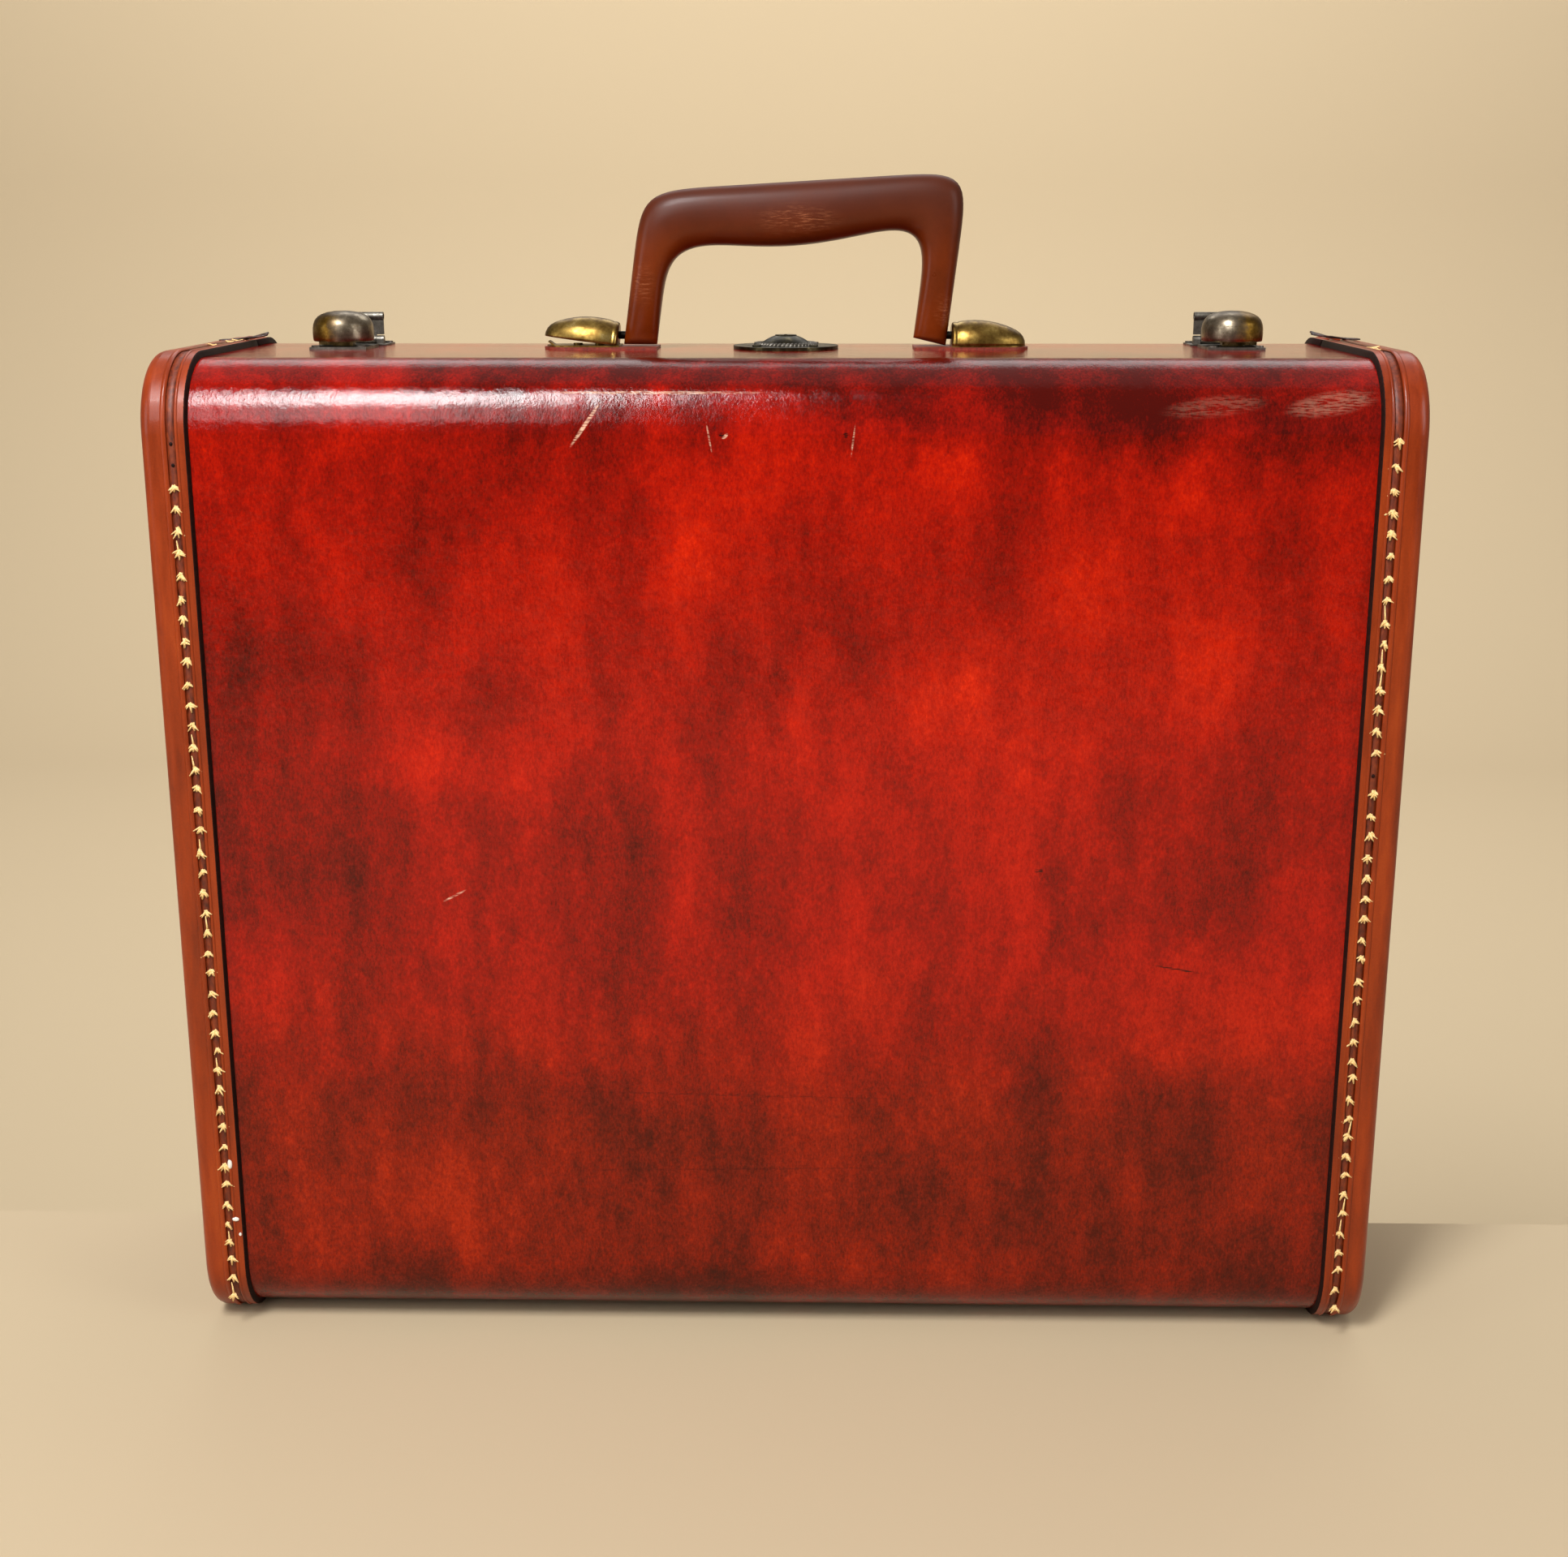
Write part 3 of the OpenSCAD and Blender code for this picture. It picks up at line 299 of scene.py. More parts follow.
    # Grain of about 1 mm and wrinkles of some 9 mm break up the gloss
    wrinkle = add_node(
        tree, "TexNoise", {"Vector": place, "Scale": 1 / (9 * MM), "Detail": 7, "Roughness": 0.62}
    ).outputs["Fac"]
    relief = add_node(tree, "Math", {0: wrinkle, 1: 6.0, 2: specks}, operation="MULTIPLY_ADD").outputs[0]
    bump = add_node(tree, "Bump", {"Height": relief, "Strength": 0.3, "Distance": 0.17 * MM}).outputs[0]
    link_shader(tree, shader, Base_Color=colour, Normal=bump, Coat_Normal=bump)
    return material


def waxed_binding():
    """Waxed cowhide on the edges: tan-orange, polished by hands, with darker rubs along its length."""
    material, tree, shader, place = new_material(
        "waxed_binding", Specular_IOR_Level=0.3, Coat_Weight=0.15, Coat_Roughness=0.12
    )
    # Rubs run along the strip and are some 6 mm wide and 40 mm long
    long = add_node(tree, "VectorMath", {0: place, 1: (1, 0.35, 0.14)}, operation="MULTIPLY").outputs[0]
    rubs = add_node(
        tree, "TexNoise", {"Vector": long, "Scale": 1 / (6 * MM), "Detail": 6, "Roughness": 0.65}
    ).outputs["Fac"]
    pores = add_node(
        tree, "TexNoise", {"Vector": place, "Scale": 1 / (0.7 * MM), "Detail": 4, "Roughness": 0.7}
    ).outputs["Fac"]
    both = add_node(tree, "Math", {0: pores, 1: 0.3, 2: rubs}, operation="MULTIPLY_ADD").outputs[0]
    level = add_node(tree, "MapRange", {VALUE: both, FROM_LOW: 0.3, FROM_HIGH: 1.0}).outputs[0]
    colour = add_node(
        tree,
        "ValToRGB",
        {0: level},
        stops=[(0.0, "#501702"), (0.3, "#762502"), (0.6, "#8c3003"), (1.0, "#a6440a")],
    ).outputs["Color"]
    dull = add_node(
        tree, "MapRange", {VALUE: rubs, FROM_LOW: 0.3, FROM_HIGH: 0.7, TO_LOW: 0.28, TO_HIGH: 0.46}
    ).outputs[0]
    bump = add_node(tree, "Bump", {"Height": both, "Strength": 0.35, "Distance": 0.12 * MM}).outputs[0]
    link_shader(tree, shader, Base_Color=colour, Roughness=dull, Normal=bump)
    return material


# Scuffs of the handle: middle and half sizes in mm, and share
SCUFFS = [
    ((5, 3, 427), (16, 9, 6), 0.55),
    ((-55, 6, 403), (5, 9, 9), 0.4),
    ((62, 6, 393), (5, 9, 7), 0.5),
]


def moulded_grip():
    """Moulded celluloid over a core: dark red-brown, satin, with scuffs where hands and tables rub it."""
    material, tree, shader, place = new_material(
        "moulded_grip", Specular_IOR_Level=0.22, Coat_Weight=0.08, Coat_Roughness=0.2
    )
    # Clouds of some 26 mm with a grain of about 1 mm
    clouds = add_node(
        tree, "TexNoise", {"Vector": place, "Scale": 1 / (26 * MM), "Detail": 6, "Roughness": 0.6}
    ).outputs["Fac"]
    fine = add_node(
        tree, "TexNoise", {"Vector": place, "Scale": 1 / (1.1 * MM), "Detail": 4, "Roughness": 0.7}
    ).outputs["Fac"]
    both = add_node(tree, "Math", {0: fine, 1: 0.22, 2: clouds}, operation="MULTIPLY_ADD").outputs[0]
    level = add_node(tree, "MapRange", {VALUE: both, FROM_LOW: 0.2, FROM_HIGH: 1.0}).outputs[0]
    brown = add_node(
        tree,
        "ValToRGB",
        {0: level},
        stops=[(0.0, "#481802"), (0.45, "#622303"), (0.75, "#702b05"), (1.0, "#8a441c")],
    ).outputs["Color"]
    # The top of the grip is painted darker as shade, and hands have dulled it there
    height = add_node(tree, "SeparateXYZ", {0: place}).outputs["Z"]
    top_shade_and_dulling = add_node(
        tree,
        "MapRange",
        {VALUE: height, FROM_LOW: 408 * MM, FROM_HIGH: 440 * MM, TO_LOW: 0.0, TO_HIGH: 0.7},
        interpolation_type="SMOOTHSTEP",
    ).outputs[0]
    shaded_brown = add_node(
        tree, "Mix", {MIX_SHARE: top_shade_and_dulling, MIX_FIRST: brown, MIX_SECOND: linear("#341002")}, data_type="RGBA"
    ).outputs[MIX_RESULT]
    # Scuffs are scratches of 0.5 by 4 mm, thick in the rubbed places
    slanted = add_node(
        tree, "Mapping", {"Vector": place, "Rotation": (0, math.radians(35), 0), "Scale": (0.25, 1, 2)}
    ).outputs[0]
    scratch = add_node(
        tree, "TexNoise", {"Vector": slanted, "Scale": 1 / (1.1 * MM), "Detail": 4, "Roughness": 0.7}
    ).outputs["Fac"]
    lines = add_node(tree, "MapRange", {VALUE: scratch, FROM_LOW: 0.5, FROM_HIGH: 0.66}).outputs[0]
    rubbed = 0.0
    for middle, half, share in SCUFFS:
        patch = soft_patch(tree, place, middle, half)
        rubbed = add_node(tree, "Math", {0: patch, 1: share, 2: rubbed}, operation="MULTIPLY_ADD").outputs[0]
    scuffed = add_node(tree, "Math", {0: rubbed, 1: lines}, operation="MULTIPLY", use_clamp=True).outputs[0]
    colour = add_node(
        tree, "Mix", {MIX_SHARE: scuffed, MIX_FIRST: shaded_brown, MIX_SECOND: linear("#b5714a")}, data_type="RGBA"
    ).outputs[MIX_RESULT]
    satin = add_node(
        tree, "MapRange", {VALUE: clouds, FROM_LOW: 0.3, FROM_HIGH: 0.7, TO_LOW: 0.26, TO_HIGH: 0.36}
    ).outputs[0]
    dull = add_node(tree, "Math", {0: top_shade_and_dulling, 1: 0.3, 2: satin}, operation="MULTIPLY_ADD").outputs[0]
    bump = add_node(tree, "Bump", {"Height": fine, "Strength": 0.2, "Distance": 0.08 * MM}).outputs[0]
    link_shader(tree, shader, Base_Color=colour, Roughness=dull, Normal=bump)
    return material


def add_tarnish(tree, shader, place, spot_mm, smooth, rough):
    """Links tarnish that is dull where thick, and fine scuffs; gives back its noise and its share."""
    spots = add_node(
        tree, "TexNoise", {"Vector": place, "Scale": 1 / (spot_mm * MM), "Detail": 8, "Roughness": 0.7}
    ).outputs["Fac"]
    share = add_node(tree, "MapRange", {VALUE: spots, FROM_LOW: 0.3, FROM_HIGH: 0.7}).outputs[0]
    dull = add_node(tree, "MapRange", {VALUE: share, TO_LOW: rough, TO_HIGH: smooth}).outputs[0]
    scuffs = add_node(
        tree, "TexNoise", {"Vector": place, "Scale": 1 / (0.6 * MM), "Detail": 4}
    ).outputs["Fac"]
    bump = add_node(tree, "Bump", {"Height": scuffs, "Strength": 0.15, "Distance": 0.06 * MM}).outputs[0]
    link_shader(tree, shader, Roughness=dull, Normal=bump)
    return spots, share


def tarnished_metal(name, stops, spot_mm, smooth, rough):
    """Pressed and plated metal with tarnish in spots: bright where rubbed, brown and dull where not."""
    material, tree, shader, place = new_material(name, Metallic=1.0)
    _, share = add_tarnish(tree, shader, place, spot_mm, smooth, rough)
    colour = add_node(tree, "ValToRGB", {0: share}, stops=stops).outputs["Color"]
    link_shader(tree, shader, Base_Color=colour)
    return material


def rubbed_dome():
    """Pressed brass with its lacquer gone: golden on the outer side, grey-brown tarnish on the rest."""
    material, tree, shader, place = new_material("rubbed_dome_brass", Metallic=1.0)
    spots, share = add_tarnish(tree, shader, place, spot_mm=5, smooth=0.28, rough=0.46)
    grey = add_node(
        tree, "ValToRGB", {0: share}, stops=[(0.0, "#41372c"), (0.5, "#6f6353"), (1.0, "#a89c86")]
    ).outputs["Color"]
    gold = add_node(
        tree, "ValToRGB", {0: share}, stops=[(0.0, "#342208"), (0.5, "#6a4e1c"), (1.0, "#a88642")]
    ).outputs["Color"]
    across = add_node(tree, "SeparateXYZ", {0: place}).outputs["X"]
    outward = add_node(tree, "Math", {0: across}, operation="ABSOLUTE").outputs[0]
    wavering = add_node(tree, "Math", {0: spots, 1: 10 * MM, 2: outward}, operation="MULTIPLY_ADD").outputs[0]
    golden = add_node(
        tree, "MapRange", {VALUE: wavering, FROM_LOW: LATCH_X + 4 * MM, FROM_HIGH: LATCH_X + 9 * MM}
    ).outputs[0]
    colour = add_node(
        tree, "Mix", {MIX_SHARE: golden, MIX_FIRST: grey, MIX_SECOND: gold}, data_type="RGBA"
    ).outputs[MIX_RESULT]
    link_shader(tree, shader, Base_Color=colour)
    return material


def plain_grained(name, stops, stretch, grain_mm, rough, depth_mm, **constants):
    """A matt grained stuff such as ply, paper, leather or thread, its grain stretched one way."""
    material, tree, shader, place = new_material(name, Roughness=rough, **constants)
    long = add_node(tree, "VectorMath", {0: place, 1: stretch}, operation="MULTIPLY").outputs[0]
    grain = add_node(
        tree, "TexNoise", {"Vector": long, "Scale": 1 / (grain_mm * MM), "Detail": 6, "Roughness": 0.65}
    ).outputs["Fac"]
    share = add_node(tree, "MapRange", {VALUE: grain, FROM_LOW: 0.3, FROM_HIGH: 0.7}).outputs[0]
    colour = add_node(tree, "ValToRGB", {0: share}, stops=stops).outputs["Color"]
    bump = add_node(tree, "Bump", {"Height": share, "Strength": 0.4, "Distance": depth_mm * MM}).outputs[0]
    link_shader(tree, shader, Base_Color=colour, Normal=bump)
    return material


covering = lacquered_covering()
binding = waxed_binding()
grip_stuff = moulded_grip()
brass = tarnished_metal(
    "tarnished_brass",
    [(0.0, "#3c2a10"), (0.35, "#6c5226"), (0.7, "#987c40"), (1.0, "#c8ae70")],
    spot_mm=7,
    smooth=0.24,
    rough=0.42,
)
worn_brass = tarnished_metal(
    "worn_brass",
    [(0.0, "#2f2413"), (0.4, "#5b4a2c"), (0.7, "#86714a"), (1.0, "#b9a67c")],
    spot_mm=6,
    smooth=0.2,
    rough=0.44,
)
dark_brass = tarnished_metal(
    "dark_brass",
    [(0.0, "#17130d"), (0.5, "#2f2a1c"), (0.8, "#4f4832"), (1.0, "#7d7458")],
    spot_mm=4,
    smooth=0.26,
    rough=0.5,
)
black_steel = tarnished_metal(
    "blackened_steel",
    [(0.0, "#0c0a08"), (0.6, "#1c1814"), (1.0, "#3a332b")],
    spot_mm=3,
    smooth=0.35,
    rough=0.55,
)
dome_brass = rubbed_dome()
steel = tarnished_metal(
    "dull_plated_steel",
    [(0.0, "#3f3a33"), (0.5, "#67625a"), (1.0, "#96928a")],
    spot_mm=5,
    smooth=0.4,
    rough=0.58,
)
ply = plain_grained(
    "birch_ply",
    [(0.0, "#9a7244"), (0.5, "#bd935e"), (1.0, "#d3b07c")],
    stretch=(0.08, 1, 0.5),
    grain_mm=2.5,
    rough=0.6,
    depth_mm=0.1,
)
lining = plain_grained(
    "lining_paper",
    [(0.0, "#b49c72"), (0.5, "#c4ae84"), (1.0, "#d0bc94")],
    stretch=(1, 1, 0.7),
    grain_mm=1.4,
    rough=0.75,
    depth_mm=0.06,
)
pad = plain_grained(
    "pad_leather",
    [(0.0, "#4a160b"), (0.5, "#742716"), (1.0, "#8f3a24")],
    stretch=(1, 1, 1),
    grain_mm=1.2,
    rough=0.5,
    depth_mm=0.1,
)
thread = plain_grained(
    "waxed_cotton_thread",
    [(0.0, "#c08a48"), (0.4, "#e6bf7c"), (1.0, "#f6dca4")],
    stretch=(1, 1, 1),
    grain_mm=0.6,
    rough=0.8,
    depth_mm=0.1,
)
# Black for the binding's cut inner edge, partly dye and partly painted shade of the gap beside it, and for
# the painted shade in empty stitch holes
edge_dye = plain_grained(
    "black_edge_dye",
    [(0.0, "#0e0503"), (0.6, "#1e0905"), (1.0, "#34140c")],
    stretch=(1, 1, 1),
    grain_mm=1.5,
    rough=0.7,
    depth_mm=0.08,
    Specular_IOR_Level=0.15,
)
# The groove floor under the stitches: binding leather darkened as painted shade
stitch_bed = plain_grained(
    "groove_leather_painted_shade",
    [(0.0, "#3c1004"), (0.5, "#6a2408"), (1.0, "#8a3810")],
    stretch=(1, 1, 0.4),
    grain_mm=1.5,
    rough=0.5,
    depth_mm=0.12,
)
paint = plain_grained(
    "dried_paint",
    [(0.0, "#cfc4b4"), (0.5, "#e6e0d6"), (1.0, "#f2eee8")],
    stretch=(1, 1, 1),
    grain_mm=0.9,
    rough=0.5,
    depth_mm=0.08,
)
torn_leather = plain_grained(
    "torn_leather",
    [(0.0, "#120806"), (0.5, "#2d1610"), (1.0, "#5a3a30")],
    stretch=(1, 1, 1),
    grain_mm=2,
    rough=0.45,
    depth_mm=0.15,
)

FINISHES = {
    covering: ["base_cover", "lid_cover", "base_end_left", "base_end_right", "lid_end_left", "lid_end_right"],
    binding: ["base_binding_left", "base_binding_right", "lid_binding_left", "lid_binding_right"],
    grip_stuff: ["handle_grip"],
    brass: [
        "handle_bracket_left", "handle_bracket_right", "handle_plate_left", "handle_plate_right",
        "handle_rivets", "hinge_base_leaf_left", "hinge_base_leaf_right", "hinge_lid_leaf_left",
        "hinge_lid_leaf_right", "hinge_base_rivets", "hinge_lid_rivets",
    ],
    worn_brass: ["latch_slide_left", "latch_slide_right"],
    black_steel: ["handle_pin_left", "handle_pin_right"],
    dark_brass: ["lock_flange", "lock_dome", "lock_plug", "lock_rivets"],
    steel: [
        "hinge_pin_left", "hinge_pin_right", "latch_hasp_left", "latch_hasp_right", "latch_plate_left",
        "latch_plate_right", "latch_rivets", "latch_hasp_pin_left", "latch_hasp_pin_right",
        "latch_keeper_left", "latch_keeper_right", "keeper_rivets", "lock_case", "lock_bolt", "lock_striker",
    ],
    ply: ["base_shell", "lid_shell", "base_rim"],
    lining: ["base_lining", "lid_lining"],
    pad: ["handle_pad_left", "handle_pad_right"],
}
for finish, names in FINISHES.items():
    for name in names:
        solids[name].data.materials.clear()
        solids[name].data.materials.append(finish)


def new_piece(name, mesh_maker, finish, body):
    """A smooth mesh object from a filled bmesh, with its finish, riding on a body."""
    mesh = bpy.data.meshes.new(name)
    mesh_maker.to_mesh(mesh)
    mesh_maker.free()
    for face in mesh.polygons:
        face.use_smooth = True
    mesh.materials.append(finish)
    piece = bpy.data.objects.new(name, mesh)
    bpy.context.scene.collection.objects.link(piece)
    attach(piece, body)
    return piece


def extrude_by(shape, edges, shift):
    """Extrudes a chain of edges along a straight run and gives back its far end."""
    made = bmesh.ops.extrude_edge_only(shape, edges=edges)["geom"]
    far = {v for v in made if isinstance(v, bmesh.types.BMVert)}
    bmesh.ops.translate(shape, verts=list(far), vec=shift)
    return [e for e in made if isinstance(e, bmesh.types.BMEdge) and far.issuperset(e.verts)]


def spin_by(shape, edges, centre, angle, steps):
    """Spins a chain of edges round an axis along X and gives back its far end."""
    made = bmesh.ops.spin(shape, geom=edges, cent=centre, axis=(1, 0, 0), angle=angle, steps=steps)
    return [e for e in made["geom_last"] if isinstance(e, bmesh.types.BMEdge)]


MERGE_DISTANCE = 0.005 * MM


def close_and_face_out(shape):
    """Closes open ends, merges doubles and turns all faces outwards."""
    bmesh.ops.remove_doubles(shape, verts=shape.verts, dist=MERGE_DISTANCE)
    bmesh.ops.holes_fill(shape, edges=[e for e in shape.edges if e.is_boundary])
    bmesh.ops.recalc_face_normals(shape, faces=shape.faces)


# The two halves of the case: which way their outer face lies along Y, and where their seam edge is
HALVES = {"base": (-1, BASE_D - CASE_HALF_D), "lid": (1, CASE_HALF_D - LID_D)}
LOWER_BEND_STEPS = 10
UPPER_BEND_STEPS = 14
PROUD_LOWER_TURN = math.radians(62)


def sweep_round_half(shape, profile, half, on_bottom):
    """Draws a closed profile of (X, rise) points, in mm, round one half's lower, outer and top edges."""
    side, seam = HALVES[half]
    reach = side * (CASE_HALF_D - CORNER_R)
    low = Vector((0, reach, CORNER_R))
    high = Vector((0, reach, CASE_H - CORNER_R))
    start = seam + side * BOTTOM_STOP if on_bottom else reach
    verts = [shape.verts.new((x * MM, start, -rise * MM)) for x, rise in profile]
    edges = [shape.edges.new(pair) for pair in zip(verts, verts[1:] + verts[:1])]
    lower_turn = QUARTER
    if on_bottom:
        edges = extrude_by(shape, edges, (0, reach - start, 0))
    else:
        # A strip that stands proud begins where the corner has left the floor
        lower_turn = PROUD_LOWER_TURN
        skipped = Matrix.Rotation(side * (QUARTER - lower_turn), 3, "X")
        bmesh.ops.rotate(shape, verts=verts, cent=low, matrix=skipped)
    edges = spin_by(shape, edges, low, side * lower_turn, LOWER_BEND_STEPS)
    edges = extrude_by(shape, edges, high - low)
    edges = spin_by(shape, edges, high, side * QUARTER, UPPER_BEND_STEPS)
    extrude_by(shape, edges, (0, seam - reach, 0))


# Trim of the bindings as closed profiles of (X, rise above the binding) points in mm: the sunken strip
# that the stitches lie on, darker as painted shade, the two pressed beads beside it, and the black on the
# cut inner edge, partly dye and partly painted shade of the gap
TRIM = {
    "stitch_bed": [[(215.2, -0.95), (218.8, -0.95), (218.8, -0.5), (217.0, -0.66), (215.2, -0.5)]],
    "pressed_beads": [
        [
            (218.5, -0.3), (220.6, -0.3), (220.5, 0.06), (220.05, 0.4), (219.55, 0.5), (219.05, 0.4),
            (218.6, 0.06),
        ],
        [
            (214.2, -0.3), (215.4, -0.3), (215.35, 0.1), (215.05, 0.36), (214.75, 0.4), (214.45, 0.3),
            (214.2, 0.0),
        ],
    ],
    "edge_dye": [
        [
            (212.2, -2.6), (212.2, -0.5), (212.1, -0.02), (211.85, -0.02), (211.6, -0.6), (211.2, -2.2),
            (211.1, -2.6),
        ],
    ],
}
TRIM_STUFF = {"stitch_bed": stitch_bed, "pressed_beads": binding, "edge_dye": edge_dye}
for half in HALVES:
    for trim, profiles in TRIM.items():
        strip = bmesh.new()
        for profile in profiles:
            sweep_round_half(strip, profile, half, on_bottom=trim != "pressed_beads")
        close_and_face_out(strip)
        bmesh.ops.mirror(strip, geom=strip.verts[:] + strip.edges[:] + strip.faces[:], axis="X")
        bmesh.ops.recalc_face_normals(strip, faces=strip.faces)
        new_piece(half + "_" + trim, strip, TRIM_STUFF[trim], half)


# Stitches: a frayed tuft of waxed cotton every 8 mm, some of them gone, some joined by a loose run
STITCH_STEP = 8 * MM
STITCH_RISE = -0.45 * MM
STITCH_LOWEST_Z = 14 * MM
STITCH_PAST_FACE = 2 * MM
STITCH_CLEARANCE = 3 * MM
STITCH_JITTER_MM = 0.7
SIDEWAYS_SHARE = 0.6

# Chances that a stitch is gone, and that one left has a loose run beside it
GONE_ON_TOP = 0.85
GONE_NEAR_CORNER = 0.5
GONE_ON_FACE = 0.05
LOOSE_RUN = 0.22

# Strands of a stitch: ranges of length, radius and spread, in mm and degrees, and rise per length
STRAND_SIDES = 5
STRAND_TIP = 0.3
SPINE_L = (2.2, 4.0)
SPINE_R = (0.75, 1.0)
SPINE_SWAY = 0.25
SPINE_RISE = 0.08
BARB_COUNTS = [4, 5, 6]
BARB_SPREAD = (30, 72)
BARB_RISE = (0.05, 0.35)
BARB_FOOT = (0.0, 0.4)
BARB_L = (2.0, 3.4)
BARB_R = (0.5, 0.75)
RUN_SWAY = 0.12
RUN_RISE = 0.06
RUN_L = (5, 7.5)
RUN_R = 0.55

# Empty stitch holes, drawn as dark discs of painted shade
HOLE_SIDES = 10
HOLE_FOOT_R = 0.75 * MM
HOLE_TOP_R = 0.6 * MM
HOLE_T = 0.3 * MM
HOLE_SUNK = 0.1 * MM


def stitch_places(half):
    """Places along one half's binding, each with the way along it and the way out of it."""
    side, seam = HALVES[half]
    face = side * CASE_HALF_D
    up, out = Vector((0, 0, 1)), Vector((0, side, 0))
    places = []
    z = STITCH_LOWEST_Z
    while z < CASE_H - CORNER_R + STITCH_PAST_FACE:
        places.append((Vector((0, face, z)), up, out))
        z += STITCH_STEP
    y = face - side * (CORNER_R + STITCH_CLEARANCE)
    while side * (y - seam) > STITCH_CLEARANCE:
        places.append((Vector((0, y, CASE_H)), Vector((0, -side, 0)), up))
        y -= side * STITCH_STEP
    return places


def add_strand(shape, foot, way, length, thick):
    """A short pointed strand."""
    turn = way.to_track_quat("Z", "Y").to_matrix().to_4x4()
    bmesh.ops.create_cone(
        shape,
        cap_ends=True,
        segments=STRAND_SIDES,
        radius1=thick,
        radius2=thick * STRAND_TIP,
        depth=length,
        matrix=Matrix.Translation(foot + way * length * 0.5) @ turn,
    )


def add_tuft(shape, place, along, out, chance):
    """A frayed stitch: a thick strand along the groove with short barbs that spread from its upper end."""
    across = Vector((1, 0, 0))
    length = chance.uniform(*SPINE_L) * MM
    spine = (across * chance.uniform(-SPINE_SWAY, SPINE_SWAY) - along + out * SPINE_RISE).normalized()
    top = place + along * length * 0.5
    add_strand(shape, top, spine, length, chance.uniform(*SPINE_R) * MM)
    for index in range(chance.choice(BARB_COUNTS)):
        lean = (1 if index % 2 else -1) * math.radians(chance.uniform(*BARB_SPREAD))
        way = across * math.sin(lean) - along * math.cos(lean) + out * chance.uniform(*BARB_RISE)
        foot = top + spine * length * chance.uniform(*BARB_FOOT)
        barb_length = chance.uniform(*BARB_L) * MM
        add_strand(shape, foot, way.normalized(), barb_length, chance.uniform(*BARB_R) * MM)


def add_hole(shape, place, out):
    """A dark disc of painted shade for the mouth of a hole that has lost its stitch."""
    turn = out.to_track_quat("Z", "Y").to_matrix().to_4x4()
    bmesh.ops.create_cone(
        shape,
        cap_ends=True,
        segments=HOLE_SIDES,
        radius1=HOLE_FOOT_R,
        radius2=HOLE_TOP_R,
        depth=HOLE_T,
        matrix=Matrix.Translation(place - out * HOLE_SUNK) @ turn,
    )


chance = random.Random(7)
for half in HALVES:
    tufts = bmesh.new()
    holes = bmesh.new()
    for side in SIDES.values():
        for place, along, out in stitch_places(half):
            jitter = chance.uniform(-STITCH_JITTER_MM, STITCH_JITTER_MM) * MM
            aside = Vector((side * GROOVE_X + jitter * SIDEWAYS_SHARE, 0, 0))
            middle = place + aside + along * jitter + out * STITCH_RISE
            gone = GONE_ON_FACE
            if place.z >= CASE_H:
                gone = GONE_ON_TOP
            elif place.z > CASE_H - 2 * CORNER_R:
                gone = GONE_NEAR_CORNER
            if chance.random() < gone:
                add_hole(holes, middle, out)
                continue
            add_tuft(tufts, middle, along, out, chance)
            if chance.random() < LOOSE_RUN:
                sway = Vector((chance.uniform(-RUN_SWAY, RUN_SWAY), 0, 0))
                bowed = (along + out * RUN_RISE + sway).normalized()
                add_strand(tufts, middle, bowed, chance.uniform(*RUN_L) * MM, RUN_R * MM)
    new_piece(half + "_stitches", tufts, thread, half)
    new_piece(half + "_stitch_holes", holes, edge_dye, half)


# Drops of white paint on the left binding: middle X and Z, and half sizes, in mm
PAINT_DROPS = [(-214.9, 71.5, 0.9, 2.1), (-214.2, 48, 1.4, 0.9), (-212.8, 41.5, 0.6, 0.7)]
DROP_HALF_T = 0.5 * MM
DROP_PROUD = 0.2 * MM
drops = bmesh.new()
for x, z, half_x, half_z in PAINT_DROPS:
    flat = Matrix.Diagonal((half_x * MM, DROP_HALF_T, half_z * MM, 1))
    place = Matrix.Translation((x * MM, -CASE_HALF_D - DROP_PROUD, z * MM))
    bmesh.ops.create_icosphere(drops, subdivisions=3, radius=1, matrix=place @ flat)
bmesh.ops.smooth_vert(drops, verts=drops.verts, factor=0.5, use_axis_x=True, use_axis_y=True, use_axis_z=True)
new_piece("paint_drops", drops, paint, "base")


# Handle: a squared arch whose legs lean, swept by rings that are fullest under the palm, in mm
GRIP_OUT = (62.7, 57.8)
GRIP_IN = (49.7, 38.4)
GRIP_BELLY = 4.6
GRIP_TILT = 2.2
GRIP_LEAN = 0.13
GRIP_SLOPE = 0.058
GRIP_EYE_R = 3.8
GRIP_PALM = 5.7
PALM_POWER = 0.7
GRIP_SQUARE = 10
OPENING_SQUARE = 6
RING_SQUARE = 2.6
RING_POINTS = 36
GRIP_STEPS = 120

# Rounded ends of the legs: drops of their rings below the pivots in mm, and how far the inner line follows
END_DROPS = [3.72, 3.4, 2.7, 1.8, 0.9]
TIP_DROP = 3.5
TIP_SLIM = 0.9
SLANTED_END = 0.25
SQUARE_END = 1


def squared(angle, power):
    """A point of a unit circle pushed out towards its corners."""
    c, s = math.cos(angle), math.sin(angle)
    reach = (abs(c) ** power + abs(s) ** power) ** (-1 / power)
    return c * reach, s * reach


def leaning(x, z):
    """The worn handle's lean and slope at a point above its pivots."""
    return Vector((x + GRIP_LEAN * z, 0, z + GRIP_SLOPE * x * z / GRIP_OUT[1]))


